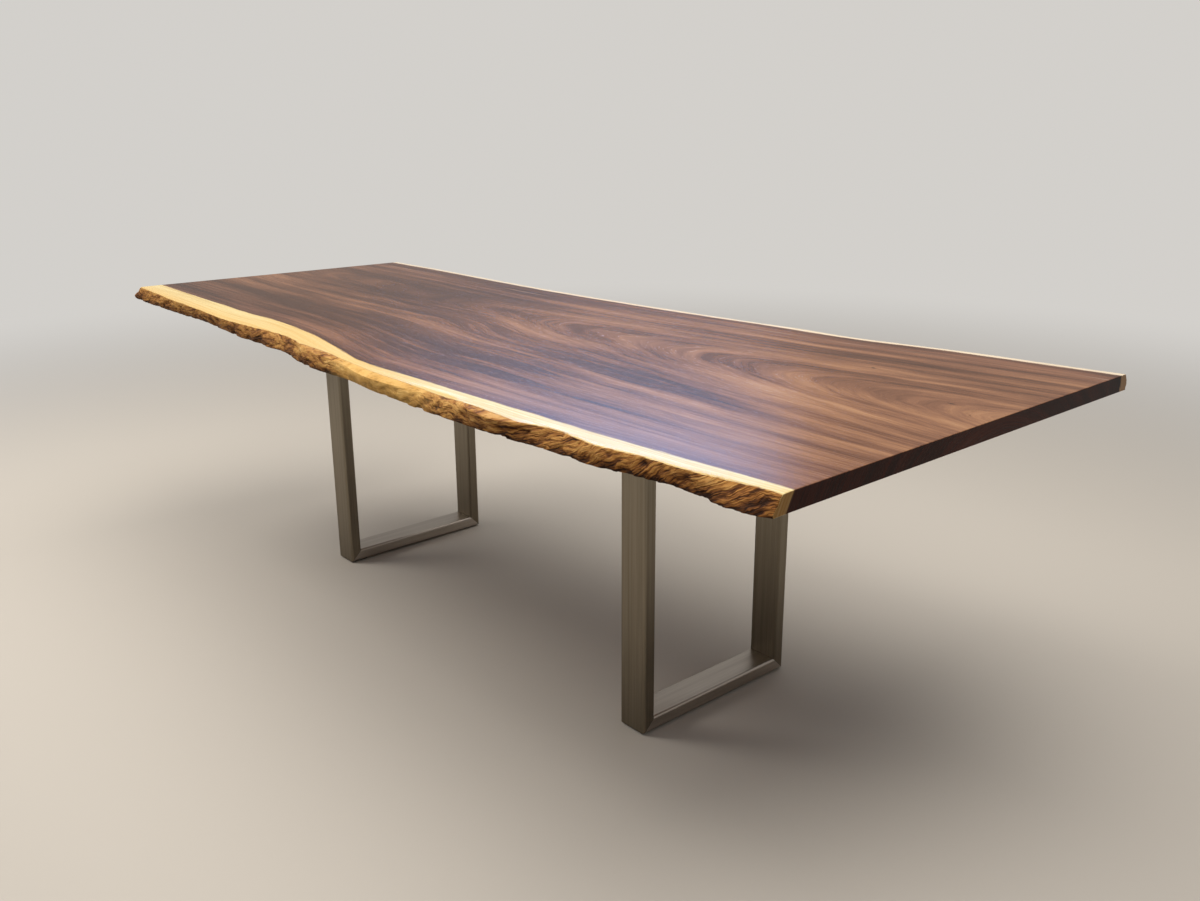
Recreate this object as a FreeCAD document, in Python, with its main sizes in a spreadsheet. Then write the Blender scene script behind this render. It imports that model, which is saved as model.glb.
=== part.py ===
import FreeCAD, Part
import os
from math import pi
import Sketcher
from FreeCAD import Placement, Rotation, Vector

# Live edge dining table: one natural slab bolted on two welded U legs of flat stainless tube.
# Frame: millimetres, X along the slab, Y across it, Z up, origin on the floor under the middle
# of the slab's box. The front edge faces -Y, the right leg stands on the +X side.

# Driving dimensions, in millimetres.
SIZES = {
    "table_height": 762,
    "slab_length": 2466,
    "slab_thickness": 35,
    "left_end_skew": 100,
    "arris_radius": 2,
    "front_belly": 4,
    "back_belly": 5,
    "back_flare": 6,
    "leg_spacing": 1247,
    "leg_forward": 38,
    "frame_depth": 454,
    "tube_width": 76,
    "tube_depth": 32,
    "tube_wall": 3,
    "tube_corner": 6,
    "plate_thickness": 8,
    "plate_margin": 12,
    "plate_corner": 8,
    "weld_size": 4,
    "weld_toe": 0.4,
    "pad_height": 4,
    "pad_width": 56,
    "pad_depth": 40,
    "pad_inset": 14,
    "bolt_diameter": 8,
    "bolt_length": 30,
    "bolt_head_width": 13,
    "bolt_head_height": 5.3,
    "bolt_row_gap": 52,
    "bolt_pitch": 240,
    "washer_diameter": 20,
    "washer_thickness": 2,
    "washer_clearance": 0.4,
    "slot_clearance": 1,
    "slot_travel": 8,
    "insert_diameter": 12,
    "insert_length": 18,
    "insert_clearance": 0.2,
    "thread_clearance": 0.2,
    "pilot_spare_depth": 5,
    "cut_overrun": 5,
    # The live edges, station by station from the left end to the right end: distances from
    # the X axis out to the edge.
    "front_top_1": 539, "front_bottom_1": 553,
    "front_top_2": 551, "front_bottom_2": 553,
    "front_top_3": 555, "front_bottom_3": 548,
    "front_top_4": 558, "front_bottom_4": 555,
    "front_top_5": 548, "front_bottom_5": 561,
    "front_top_6": 534, "front_bottom_6": 556,
    "front_top_7": 569, "front_bottom_7": 580,
    "front_top_8": 570, "front_bottom_8": 577,
    "front_top_9": 589, "front_bottom_9": 581,
    "front_top_10": 577, "front_bottom_10": 586,
    "front_top_11": 568, "front_bottom_11": 584,
    "front_top_12": 583, "front_bottom_12": 574,
    "front_top_13": 551, "front_bottom_13": 568,
    "front_top_14": 550, "front_bottom_14": 560,
    "front_top_15": 536, "front_bottom_15": 548,
    "front_top_16": 528, "front_bottom_16": 531,
    "front_top_17": 515, "front_bottom_17": 539,
    "front_top_18": 499, "front_bottom_18": 514,
    "back_top_1": 286,
    "back_top_2": 304,
    "back_top_3": 317,
    "back_top_4": 337,
    "back_top_5": 369,
    "back_top_6": 411,
    "back_top_7": 444,
    "back_top_8": 457,
    "back_top_9": 494,
    "back_top_10": 539,
    "back_top_11": 586,
}

# Shares of the way along the edge to those stations, from 0 at the left end cut to 1 at the right
# one. The first and the last station lie past the cuts.
FRONT_SHARES = (-0.005, 0.095, 0.184, 0.273, 0.322, 0.382, 0.455, 0.512, 0.561, 0.63, 0.695, 0.76,
                0.786, 0.85, 0.881, 0.93, 0.958, 1.005)
BACK_SHARES = (-0.005, 0.08, 0.22, 0.36, 0.48, 0.605, 0.7, 0.75, 0.81, 0.9, 1.005)
# Levels of height, from 0 (underside) to 1 (top), between which a live edge swells most.
BELLY_LEVELS = (0.3, 0.7)
BOLTS_PER_ROW = 2
BOLT_ROWS = 2
# Two heights or lengths closer than this count as the same.
SAME = 0.01

doc = FreeCAD.newDocument("live_edge_table")
sheet = doc.addObject("Spreadsheet::Sheet", "sizes")


def write_size(row, name, value):
    """Write one named size on its own row of the sheet."""
    sheet.set(f"A{row}", name)
    sheet.set(f"B{row}", str(value))
    sheet.setAlias(f"B{row}", name)


def fill_sheet():
    """Write all the driving dimensions and the places of the stations into the sheet."""
    named = dict(SIZES)
    for edge, places in (("front", FRONT_SHARES), ("back", BACK_SHARES)):
        for station, place in enumerate(places, start=1):
            named[f"{edge}_place_{station}"] = place
    for row, (name, number) in enumerate(named.items(), start=1):
        write_size(row, name, number)
    doc.recompute()


def value(expression):
    """Work out an expression on the sheet, as a plain number."""
    return float(sheet.evalExpression(expression))


def size(name):
    """Read one named size from the sheet."""
    return float(sheet.get(name))


def bind_place(thing, across=None, along=None, up=None):
    """Tie the place of a sub-part to the sheet."""
    for axis, expression in (("x", across), ("y", along), ("z", up)):
        if expression:
            thing.setExpression(f"Placement.Base.{axis}", expression)


def new_body(label):
    """Start a sub-part that is made from sketches and features."""
    body = doc.addObject("PartDesign::Body", label)
    body.Label = label
    return body


def origin_of(body, role):
    """Find a plane or an axis of a body's own origin."""
    return next(part for part in body.Origin.OriginFeatures if part.Role == role)


def new_sketch(body, name, role="XY_Plane", height=None):
    """Put a sketch on an origin plane of its body, or level with it at a height."""
    sketch = body.newObject("Sketcher::SketchObject", name)
    sketch.AttachmentSupport = (origin_of(body, role), [""])
    sketch.MapMode = "FlatFace"
    if height:
        sketch.setExpression("AttachmentOffset.Base.z", height)
    return sketch


def dimension(sketch, kind, *picks, by):
    """Add a dimension to a sketch and tie it to the sheet."""
    index = sketch.addConstraint(Sketcher.Constraint(kind, *picks, value(by)))
    sketch.setExpression(f"Constraints[{index}]", by)


def rounded_rectangle(sketch, width, depth, radius):
    """Draw a rectangle with round corners, centred on the sketch's origin."""
    side = value(width) / 2
    end = value(depth) / 2
    round_off = value(radius)
    flat_x = side - round_off
    flat_y = end - round_off
    corners = ((flat_x, -flat_y), (flat_x, flat_y), (-flat_x, flat_y), (-flat_x, -flat_y))
    starts = ((-flat_x, -end), (side, -flat_y), (flat_x, end), (-side, flat_y))
    ends = ((flat_x, -end), (side, flat_y), (-flat_x, end), (-side, -flat_y))
    lines = []
    arcs = []
    for turn, (centre, start, finish) in enumerate(zip(corners, starts, ends)):
        lines.append(sketch.addGeometry(Part.LineSegment(Vector(*start), Vector(*finish))))
        circle = Part.Circle(Vector(*centre), Vector(0, 0, 1), round_off)
        arcs.append(sketch.addGeometry(
            Part.ArcOfCircle(circle, (turn - 1) * pi / 2, turn * pi / 2)))
    for turn in range(4):
        following = lines[(turn + 1) % 4]
        sketch.addConstraint(Sketcher.Constraint("Tangent", lines[turn], 2, arcs[turn], 1))
        sketch.addConstraint(Sketcher.Constraint("Tangent", arcs[turn], 2, following, 1))
        way = "Vertical" if turn % 2 else "Horizontal"
        sketch.addConstraint(Sketcher.Constraint(way, lines[turn]))
    for arc in arcs[1:]:
        sketch.addConstraint(Sketcher.Constraint("Equal", arcs[0], arc))
    sketch.addConstraint(Sketcher.Constraint("Symmetric", arcs[0], 3, arcs[2], 3, -1, 1))
    dimension(sketch, "Radius", arcs[0], by=radius)
    dimension(sketch, "DistanceX", lines[3], 1, lines[1], 1, by=width)
    dimension(sketch, "DistanceY", lines[0], 1, lines[2], 1, by=depth)


def straight_slot(sketch, width, travel):
    """Draw a slot along Y with round ends, centred on the sketch's origin."""
    radius = value(width) / 2
    half = value(travel) / 2
    flanks = []
    rounds = []
    for turn, side in enumerate((1, -1)):
        start = Vector(side * radius, -side * half)
        finish = Vector(side * radius, side * half)
        circle = Part.Circle(Vector(0, side * half), Vector(0, 0, 1), radius)
        flanks.append(sketch.addGeometry(Part.LineSegment(start, finish)))
        rounds.append(sketch.addGeometry(Part.ArcOfCircle(circle, turn * pi, (turn + 1) * pi)))
    for turn in range(2):
        following = flanks[1 - turn]
        sketch.addConstraint(Sketcher.Constraint("Tangent", flanks[turn], 2, rounds[turn], 1))
        sketch.addConstraint(Sketcher.Constraint("Tangent", rounds[turn], 2, following, 1))
    sketch.addConstraint(Sketcher.Constraint("Vertical", flanks[0]))
    sketch.addConstraint(Sketcher.Constraint("Equal", *rounds))
    sketch.addConstraint(Sketcher.Constraint("Symmetric", rounds[0], 3, rounds[1], 3, -1, 1))
    dimension(sketch, "Radius", rounds[0], by=f"({width}) / 2")
    dimension(sketch, "DistanceY", rounds[1], 3, rounds[0], 3, by=travel)


def right_triangle(sketch, corner_x, corner_y, run_x, run_y):
    """Draw a right triangle by its square corner and the signed lengths of its two legs."""
    at = Vector(value(corner_x), value(corner_y))
    points = (at, at + Vector(value(run_x), 0), at + Vector(0, value(run_y)))
    for start in range(3):
        sketch.addGeometry(Part.LineSegment(points[start], points[(start + 1) % 3]))
    for line in range(3):
        sketch.addConstraint(Sketcher.Constraint("Coincident", line, 2, (line + 1) % 3, 1))
    sketch.addConstraint(Sketcher.Constraint("Horizontal", 0))
    sketch.addConstraint(Sketcher.Constraint("Vertical", 2))
    dimension(sketch, "DistanceX", -1, 1, 0, 1, by=corner_x)
    dimension(sketch, "DistanceY", -1, 1, 0, 1, by=corner_y)
    dimension(sketch, "DistanceX", 0, 1, 0, 2, by=run_x)
    dimension(sketch, "DistanceY", 2, 2, 2, 1, by=run_y)


def pad(body, name, sketch, length, both_ways=False):
    """Raise a sketch by a length."""
    feature = body.newObject("PartDesign::Pad", name)
    feature.Profile = sketch
    feature.SideType = "Symmetric" if both_ways else "One side"
    feature.setExpression("Length", length)
    return feature


def cut_through(body, name, sketch):
    """Cut a sketch right through its body, both ways from the sketch's plane."""
    feature = body.newObject("PartDesign::Pocket", name)
    feature.Profile = sketch
    feature.Type = "ThroughAll"
    feature.SideType = "Two sides"
    feature.Type2 = "ThroughAll"
    return feature


def repeat(body, name, along_x=None, along_y=None, features=None):
    """Repeat features, or the whole body, in rows along X and Y, each way (count, length)."""
    doc.recompute()
    pattern = body.newObject("PartDesign::LinearPattern", name)
    if features:
        pattern.Originals = features
    else:
        pattern.TransformMode = "Whole shape"
    ways = [(role, way) for role, way in (("X_Axis", along_x), ("Y_Axis", along_y)) if way]
    for suffix, (role, (count, length)) in zip(("", "2"), ways):
        setattr(pattern, f"Direction{suffix}", (origin_of(body, role), [""]))
        setattr(pattern, f"Occurrences{suffix}", count)
        pattern.setExpression(f"Length{suffix}", length)
    body.Tip = pattern
    return pattern


def edge_reach(edge, station, level):
    """Distance from the X axis to a live edge, at a level from 0 (underside) to 1 (top)."""
    top = size(f"{edge}_top_{station}")
    if edge == "front":
        bottom = size(f"front_bottom_{station}")
    else:
        bottom = top + size("back_flare")
    belly = 4 * level * (1 - level) * size(f"{edge}_belly")
    drawn_in = size("arris_radius") if level in (0, 1) else 0
    return bottom + (top - bottom) * level + belly - drawn_in


def left_cut_x(across):
    """X of the left end cut, which runs out of square from the front corner to the back one."""
    front_corner = -max(size("front_top_1"), size("front_bottom_1"))
    share = (across - front_corner) / (size("back_top_1") - front_corner)
    return -size("slab_length") / 2 + size("left_end_skew") * share


def live_edge(edge, level):
    """A live edge at a level, as a smooth curve through its stations from left to right."""
    side = -1 if edge == "front" else 1
    height = size("table_height") - size("slab_thickness") * (1 - level)
    right_x = size("slab_length") / 2
    left_x = left_cut_x(side * edge_reach(edge, 1, level))
    stations = range(1, len(FRONT_SHARES if edge == "front" else BACK_SHARES) + 1)
    places = [size(f"{edge}_place_{station}") for station in stations]
    points = []
    for station, place in zip(stations, places):
        along = left_x + (right_x - left_x) * place
        points.append(Vector(along, side * edge_reach(edge, station, level), height))
    curve = Part.BSplineCurve()
    curve.interpolate(Points=points, Parameters=places)
    return curve


def slab_outline(level):
    """The rough slab's outline at a level: two live edges and two ends past the end cuts."""
    front = live_edge("front", level)
    back = live_edge("back", level)
    back.reverse()
    right_end = Part.LineSegment(front.EndPoint, back.StartPoint)
    left_end = Part.LineSegment(back.EndPoint, front.StartPoint)
    return Part.Wire([part.toShape() for part in (front, right_end, back, left_end)])


def between_cuts(rough):
    """A block between the two end cuts, wider and higher than the rough slab."""
    spare = size("cut_overrun")
    box = rough.BoundBox
    right_x = size("slab_length") / 2
    front = box.YMin - spare
    back = box.YMax + spare
    corners = ((left_cut_x(front), front), (right_x, front), (right_x, back), (left_cut_x(back), back))
    points = [Vector(along, across, box.ZMin - spare) for along, across in corners]
    face = Part.Face(Part.makePolygon(points + points[:1]))
    return face.extrude(Vector(0, 0, box.ZLength + 2 * spare))


def end_arrises(feature):
    """Names of the straight level edges of a feature, which are those of its end cuts."""
    names = []
    for number, edge in enumerate(feature.Shape.Edges, start=1):
        start, finish = (vertex.Point for vertex in edge.Vertexes)
        level = abs(start.z - finish.z) < SAME
        straight = edge.Length - start.distanceToPoint(finish) < SAME
        if level and straight:
            names.append(f"Edge{number}")
    return names


# The legs stand evenly about the middle of the slab's mean length.
LEG_MIDDLE = "sizes.left_end_skew / 4"
LEG_X = {
    "left": LEG_MIDDLE + " - sizes.leg_spacing / 2",
    "right": LEG_MIDDLE + " + sizes.leg_spacing / 2",
}
LEG_Y = "-sizes.leg_forward"
UNDERSIDE = "sizes.table_height - sizes.slab_thickness"
PLATE_UNDERSIDE = UNDERSIDE + " - sizes.plate_thickness"
WASHER_UNDERSIDE = PLATE_UNDERSIDE + " - sizes.washer_thickness"
FIRST_BOLT_Y = f"{LEG_Y} - sizes.bolt_pitch * {(BOLTS_PER_ROW - 1) / 2}"
BOLT_COLUMN = (BOLTS_PER_ROW, f"sizes.bolt_pitch * {BOLTS_PER_ROW - 1}")
BOLT_SPAN = (BOLT_ROWS, "sizes.bolt_row_gap")
TUBE_CORNER_INSIDE = "sizes.tube_corner - sizes.tube_wall"


def first_bolt_x(leg):
    """X of a leg's first bolt, as an expression."""
    return f"{LEG_X[leg]} - sizes.bolt_row_gap / 2"


def primitive(body, kind, name, **sizes):
    """Add a plain solid to a body, or take it away, with its sizes tied to the sheet."""
    feature = body.newObject(f"PartDesign::{kind}", name)
    feature.AttachmentSupport = (origin_of(body, "XY_Plane"), [""])
    feature.MapMode = "FlatFace"
    for key, expression in sizes.items():
        feature.setExpression(key, expression)
    return feature


def raise_by(feature, across="0", along="0", up="0"):
    """Tie the place of a plain solid inside its body to the sheet."""
    for axis, expression in (("x", across), ("y", along), ("z", up)):
        feature.setExpression(f"AttachmentOffset.Base.{axis}", expression)


def make_slab():
    """The slab: a loft through its outlines, cut to length, with eased arrises and pilot holes."""
    blank = doc.addObject("Part::Feature", "slab_blank")
    ease = size("arris_radius") / size("slab_thickness")
    levels = (0, ease, *BELLY_LEVELS, 1 - ease, 1)
    rough = Part.makeLoft([slab_outline(level) for level in levels], True, True)
    blank.Shape = rough.common(between_cuts(rough))
    body = new_body("live_edge_slab")
    body.BaseFeature = blank
    doc.recompute()
    base = body.Group[0]
    arris = body.newObject("PartDesign::Fillet", "arris")
    arris.Base = (base, end_arrises(base))
    arris.setExpression("Radius", "sizes.arris_radius")
    for leg in LEG_X:
        pilot = primitive(
            body, "SubtractiveCylinder", f"{leg}_pilot",
            Radius="(sizes.insert_diameter + sizes.insert_clearance) / 2",
            Height="sizes.insert_length + sizes.pilot_spare_depth")
        raise_by(pilot, first_bolt_x(leg), FIRST_BOLT_Y, UNDERSIDE)
        repeat(body, f"{leg}_pilots", BOLT_SPAN, BOLT_COLUMN, [pilot])
    return body


def tube_section(body, name, role="XY_Plane"):
    """Section of the flat tube with its wall, round corners inside and out."""
    sketch = new_sketch(body, name, role)
    rounded_rectangle(sketch, "sizes.tube_width", "sizes.tube_depth", "sizes.tube_corner")
    return sketch


def hollow(body, name, role="XY_Plane"):
    """Take the inside out of a tube."""
    sketch = new_sketch(body, f"{name}_section", role)
    rounded_rectangle(sketch, "sizes.tube_width - 2 * sizes.tube_wall",
                      "sizes.tube_depth - 2 * sizes.tube_wall", TUBE_CORNER_INSIDE)
    return cut_through(body, name, sketch)


def make_upright(leg, end):
    """One upright of a leg: a flat tube, mitred at its foot to meet the floor bar."""
    body = new_body(f"{leg}_{end}_upright")
    length = PLATE_UNDERSIDE + " - sizes.pad_height"
    pad(body, f"{leg}_{end}_tube", tube_section(body, f"{leg}_{end}_section"), length)
    hollow(body, f"{leg}_{end}_bore")
    mitre = new_sketch(body, f"{leg}_{end}_mitre_line", "YZ_Plane")
    run = "sizes.tube_depth + 2 * sizes.cut_overrun"
    right_triangle(mitre, "sizes.tube_depth / 2 + sizes.cut_overrun", "-sizes.cut_overrun",
                   f"-({run})", run)
    cut_through(body, f"{leg}_{end}_mitre", mitre)
    reach = "(sizes.frame_depth - sizes.tube_depth) / 2"
    if end == "rear":
        body.Placement = Placement(Vector(), Rotation(Vector(0, 0, 1), 180))
        bind_place(body, LEG_X[leg], f"{LEG_Y} + {reach}", "sizes.pad_height")
    else:
        bind_place(body, LEG_X[leg], f"{LEG_Y} - {reach}", "sizes.pad_height")
    return body


def make_floor_bar(leg):
    """The bar on the floor: the same tube lying down, mitred at both ends."""
    body = new_body(f"{leg}_floor_bar")
    section = tube_section(body, f"{leg}_bar_section", "XZ_Plane")
    pad(body, f"{leg}_bar_tube", section, "sizes.frame_depth", both_ways=True)
    hollow(body, f"{leg}_bar_bore", "XZ_Plane")
    line = new_sketch(body, f"{leg}_bar_mitre_line", "YZ_Plane")
    run = "sizes.tube_depth + 2 * sizes.cut_overrun"
    right_triangle(line, "sizes.frame_depth / 2 + sizes.cut_overrun",
                   "sizes.tube_depth / 2 + sizes.cut_overrun", f"-({run})", f"-({run})")
    cut = cut_through(body, f"{leg}_bar_mitre", line)
    other = body.newObject("PartDesign::Mirrored", f"{leg}_bar_other_mitre")
    other.Originals = [cut]
    other.MirrorPlane = (origin_of(body, "XZ_Plane"), [""])
    body.Tip = other
    bind_place(body, LEG_X[leg], LEG_Y, "sizes.pad_height + sizes.tube_depth / 2")
    return body


def make_mounting_plate(leg):
    """The plate on top of a leg, with slots that let the slab swell across its width."""
    body = new_body(f"{leg}_mounting_plate")
    outline = new_sketch(body, f"{leg}_plate_outline")
    rounded_rectangle(outline, "sizes.tube_width + 2 * sizes.plate_margin",
                      "sizes.frame_depth + 2 * sizes.plate_margin", "sizes.plate_corner")
    pad(body, f"{leg}_plate", outline, "sizes.plate_thickness")
    slot_line = new_sketch(body, f"{leg}_slot_line")
    width = "sizes.bolt_diameter + sizes.slot_clearance"
    straight_slot(slot_line, width, "sizes.slot_travel")
    slot_line.setExpression("AttachmentOffset.Base.x", "-sizes.bolt_row_gap / 2")
    slot_line.setExpression("AttachmentOffset.Base.y", f"-({BOLT_COLUMN[1]}) / 2")
    slot = cut_through(body, f"{leg}_slot", slot_line)
    repeat(body, f"{leg}_slots", BOLT_SPAN, BOLT_COLUMN, [slot])
    bind_place(body, LEG_X[leg], LEG_Y, PLATE_UNDERSIDE)
    return body


def make_plate_welds(leg):
    """Fillet welds round the heads of both uprights, under the plate."""
    body = new_body(f"{leg}_plate_welds")
    root = new_sketch(body, f"{leg}_weld_root")
    toe = new_sketch(body, f"{leg}_weld_toe", height="-sizes.weld_size")
    for sketch, grow in ((root, "sizes.weld_size"), (toe, "sizes.weld_toe")):
        rounded_rectangle(sketch, f"sizes.tube_width + 2 * {grow}",
                          f"sizes.tube_depth + 2 * {grow}", f"sizes.tube_corner + {grow}")
    bead = body.newObject("PartDesign::AdditiveLoft", f"{leg}_bead")
    bead.Profile = root
    bead.Sections = [toe]
    bead.Ruled = True
    cut_through(body, f"{leg}_weld_inside", tube_section(body, f"{leg}_weld_tube"))
    repeat(body, f"{leg}_beads", along_y=(2, "sizes.frame_depth - sizes.tube_depth"))
    bind_place(body, LEG_X[leg], f"{LEG_Y} - (sizes.frame_depth - sizes.tube_depth) / 2",
               PLATE_UNDERSIDE)
    return body


def make_bolts(leg):
    """Hex bolts that hold a leg to the slab from below."""
    body = new_body(f"{leg}_bolts")
    head = primitive(body, "AdditivePrism", f"{leg}_bolt_head",
                     Circumradius="sizes.bolt_head_width / sqrt(3)",
                     Height="sizes.bolt_head_height")
    raise_by(head, up="-sizes.bolt_head_height")
    primitive(body, "AdditiveCylinder", f"{leg}_bolt_shank",
              Radius="sizes.bolt_diameter / 2", Height="sizes.bolt_length")
    repeat(body, f"{leg}_bolt_set", BOLT_SPAN, BOLT_COLUMN)
    bind_place(body, first_bolt_x(leg), FIRST_BOLT_Y, WASHER_UNDERSIDE)
    return body


def make_washers(leg):
    """Wide washers that bridge the slots under the bolt heads."""
    body = new_body(f"{leg}_washers")
    primitive(body, "AdditiveCylinder", f"{leg}_washer",
              Radius="sizes.washer_diameter / 2", Height="sizes.washer_thickness")
    primitive(body, "SubtractiveCylinder", f"{leg}_washer_hole",
              Radius="(sizes.bolt_diameter + sizes.washer_clearance) / 2",
              Height="sizes.washer_thickness")
    repeat(body, f"{leg}_washer_set", BOLT_SPAN, BOLT_COLUMN)
    bind_place(body, first_bolt_x(leg), FIRST_BOLT_Y, WASHER_UNDERSIDE)
    return body


def make_inserts(leg):
    """Threaded inserts in the slab's pilot holes, flush with its underside."""
    body = new_body(f"{leg}_threaded_inserts")
    primitive(body, "AdditiveCylinder", f"{leg}_insert",
              Radius="sizes.insert_diameter / 2", Height="sizes.insert_length")
    primitive(body, "SubtractiveCylinder", f"{leg}_insert_bore",
              Radius="(sizes.bolt_diameter + sizes.thread_clearance) / 2",
              Height="sizes.insert_length")
    repeat(body, f"{leg}_insert_set", BOLT_SPAN, BOLT_COLUMN)
    bind_place(body, first_bolt_x(leg), FIRST_BOLT_Y, UNDERSIDE)
    return body


def make_floor_pad(leg, end):
    """A thin pad near one end of the floor bar, which keeps the steel off the floor."""
    body = new_body(f"{leg}_{end}_floor_pad")
    strip = primitive(body, "AdditiveBox", f"{leg}_{end}_pad", Length="sizes.pad_width",
                      Width="sizes.pad_depth", Height="sizes.pad_height")
    raise_by(strip, "-sizes.pad_width / 2", "-sizes.pad_depth / 2")
    reach = "((sizes.frame_depth - sizes.pad_depth) / 2 - sizes.pad_inset)"
    side = "-" if end == "front" else "+"
    bind_place(body, LEG_X[leg], f"{LEG_Y} {side} {reach}")
    return body


def make_leg(leg):
    """All the pieces of one leg and its fixings."""
    parts = [make_upright(leg, end) for end in ("front", "rear")]
    parts.append(make_floor_bar(leg))
    parts.append(make_mounting_plate(leg))
    parts.append(make_plate_welds(leg))
    parts.append(make_bolts(leg))
    parts.append(make_washers(leg))
    parts.append(make_inserts(leg))
    parts += [make_floor_pad(leg, end) for end in ("front", "rear")]
    return parts


def check(nodes):
    """Stop if anything in the document failed or a sub-part has no sound solid."""
    for thing in doc.Objects:
        if {"Invalid", "Error"} & set(thing.State):
            raise RuntimeError(f"{thing.Label} failed: {thing.State}")
    for node in nodes:
        if node.Shape.isNull() or not node.Shape.isValid() or not node.Shape.Solids:
            raise RuntimeError(f"{node.Label} has no sound solid")


def write(nodes):
    """Write one file for each sub-part."""
    os.makedirs("parts", exist_ok=True)
    for node in nodes:
        node.Shape.exportStep(f"parts/{node.Label}.step")
        box = node.Shape.optimalBoundingBox(False, False)
        print(f"{node.Label}: {len(node.Shape.Solids)} solids, {node.Shape.Volume / 1000:.1f} cm3, "
              f"x {box.XMin:.1f} to {box.XMax:.1f}, y {box.YMin:.1f} to {box.YMax:.1f}, "
              f"z {box.ZMin:.1f} to {box.ZMax:.1f}")


fill_sheet()
sub_parts = [make_slab()]
for side_name in LEG_X:
    sub_parts += make_leg(side_name)
doc.recompute()
check(sub_parts)
write(sub_parts)
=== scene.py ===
import logging
import math
from collections.abc import Sequence
from dataclasses import dataclass
from enum import Enum

import bmesh
import bpy
import numpy as np
from mathutils import Matrix, Vector, noise
from mathutils.bvhtree import BVHTree


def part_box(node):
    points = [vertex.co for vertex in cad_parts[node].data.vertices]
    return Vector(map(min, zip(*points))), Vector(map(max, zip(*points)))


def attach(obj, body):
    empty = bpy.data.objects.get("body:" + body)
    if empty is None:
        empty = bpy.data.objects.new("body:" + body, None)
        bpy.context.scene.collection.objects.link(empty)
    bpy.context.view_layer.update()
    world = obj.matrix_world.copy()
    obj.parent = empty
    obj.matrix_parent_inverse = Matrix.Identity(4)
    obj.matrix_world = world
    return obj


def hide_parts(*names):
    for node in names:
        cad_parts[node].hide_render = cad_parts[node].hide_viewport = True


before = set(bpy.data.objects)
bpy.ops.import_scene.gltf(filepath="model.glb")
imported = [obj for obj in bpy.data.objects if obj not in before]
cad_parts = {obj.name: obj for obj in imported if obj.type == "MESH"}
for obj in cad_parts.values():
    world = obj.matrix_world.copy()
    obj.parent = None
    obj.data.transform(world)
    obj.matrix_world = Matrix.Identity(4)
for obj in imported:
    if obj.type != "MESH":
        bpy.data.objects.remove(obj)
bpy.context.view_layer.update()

# Live edge dining table: a natural slab on two welded U legs of flat brushed tube. Metres, X along
# the slab, Y across it, Z up. The front live edge faces -Y.

LOG = logging.getLogger("live_edge_table")
NOISE_MIDDLE = 0.5
SLAB_PIECE = "slab_with_live_edges"
# Least and most size of a weld bead's ripples, and the seed of their draw.
RIPPLE_SWELL = (0.90, 1.08)
RIPPLE_SEED = 7
# Places of the inputs and outputs that share a name with others of their node.
MIX_COLOURS = slice(6, 8)
MIX_RESULT = 2
RANDOM_LEAST = 2
RANDOM_MOST = 3
RANDOM_RESULT = 1

Colour = tuple[float, float, float]
Place = tuple[float, float, float]
Pair = tuple[float, float]
Run = tuple[tuple[float, Colour], ...]
Line = tuple[tuple[float, float], ...]
Oval = tuple[float, float, float, float]
Wave = tuple[float, float, float]
Socket = bpy.types.NodeSocket


class Side(Enum):
    """A side of the slab, by the sign of its Y."""

    FRONT = -1
    BACK = 1


class Brushing(Enum):
    """The way that a steel face is brushed, by the axis that its fine lines run along."""

    UPRIGHT = "Z"
    ALONG_BAR = "Y"


class Slot(Enum):
    """Finishes, by their names in the record."""

    WOOD = "slab_wood"
    WELD = "weld_steel"
    BOLT = "bolt_steel"
    INSERT = "insert_brass"
    PAD = "pad_rubber"


@dataclass(frozen=True)
class Pattern:
    """A noise: waves per metre along each coordinate, its finer layers, its offset and its weight."""

    stretch: Place
    detail: float = 2.0
    roughness: float = 0.5
    shift: Place = (0.0, 0.0, 0.0)
    weight: float = 1.0


def opaque(colour: Colour) -> tuple[float, float, float, float]:
    """A colour with full alpha."""
    return (*colour, 1.0)


def clear_step(value: float, start: float, end: float) -> float:
    """A smooth step, from 0 where the value is at its start to 1 where it is at its end."""
    share = min(max((value - start) / (end - start), 0.0), 1.0)
    return share * share * (3.0 - 2.0 * share)


def clear_window(value: float, rise: Pair, fall: Pair) -> float:
    """1 between a rise and a fall of the value, else 0."""
    return clear_step(value, *rise) * (1.0 - clear_step(value, *fall))


def wave(*place: float) -> float:
    """Smooth noise at a place, from -1 to 1."""
    return noise.noise(Vector(place))


def bell(*offsets: float) -> float:
    """A smooth bump, 1 where all offsets are 0."""
    return math.exp(-sum(offset * offset for offset in offsets))


def ring_quads(rings: int, around: int) -> np.ndarray:
    """Faces between rings of points that are numbered one after the other.

    Args:
        rings: How many rings there are.
        around: How many points a ring has.

    Returns:
        Point numbers (face, corner).
    """
    here = np.arange(rings * around).reshape(rings, around)
    after = np.roll(here, -1, axis=1)
    return np.stack((here[:-1], here[1:], after[1:], after[:-1]), axis=-1).reshape(-1, 4)


def show(data: bpy.types.ID, name: str) -> bpy.types.Object:
    """Put a mesh, a lamp or a camera in the scene.

    Args:
        data: The mesh, the lamp or the camera.
        name: Name of the object.

    Returns:
        The object.
    """
    made = bpy.data.objects.new(name, data)
    bpy.context.scene.collection.objects.link(made)
    return made


def show_sheet(sheet: bmesh.types.BMesh, name: str) -> bpy.types.Object:
    """Put loose faces in the scene as an object.

    Args:
        sheet: The faces, which are freed.
        name: Name of the object and of its mesh.

    Returns:
        The object.
    """
    mesh = bpy.data.meshes.new(name)
    sheet.to_mesh(mesh)
    sheet.free()
    return show(mesh, name)


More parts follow.
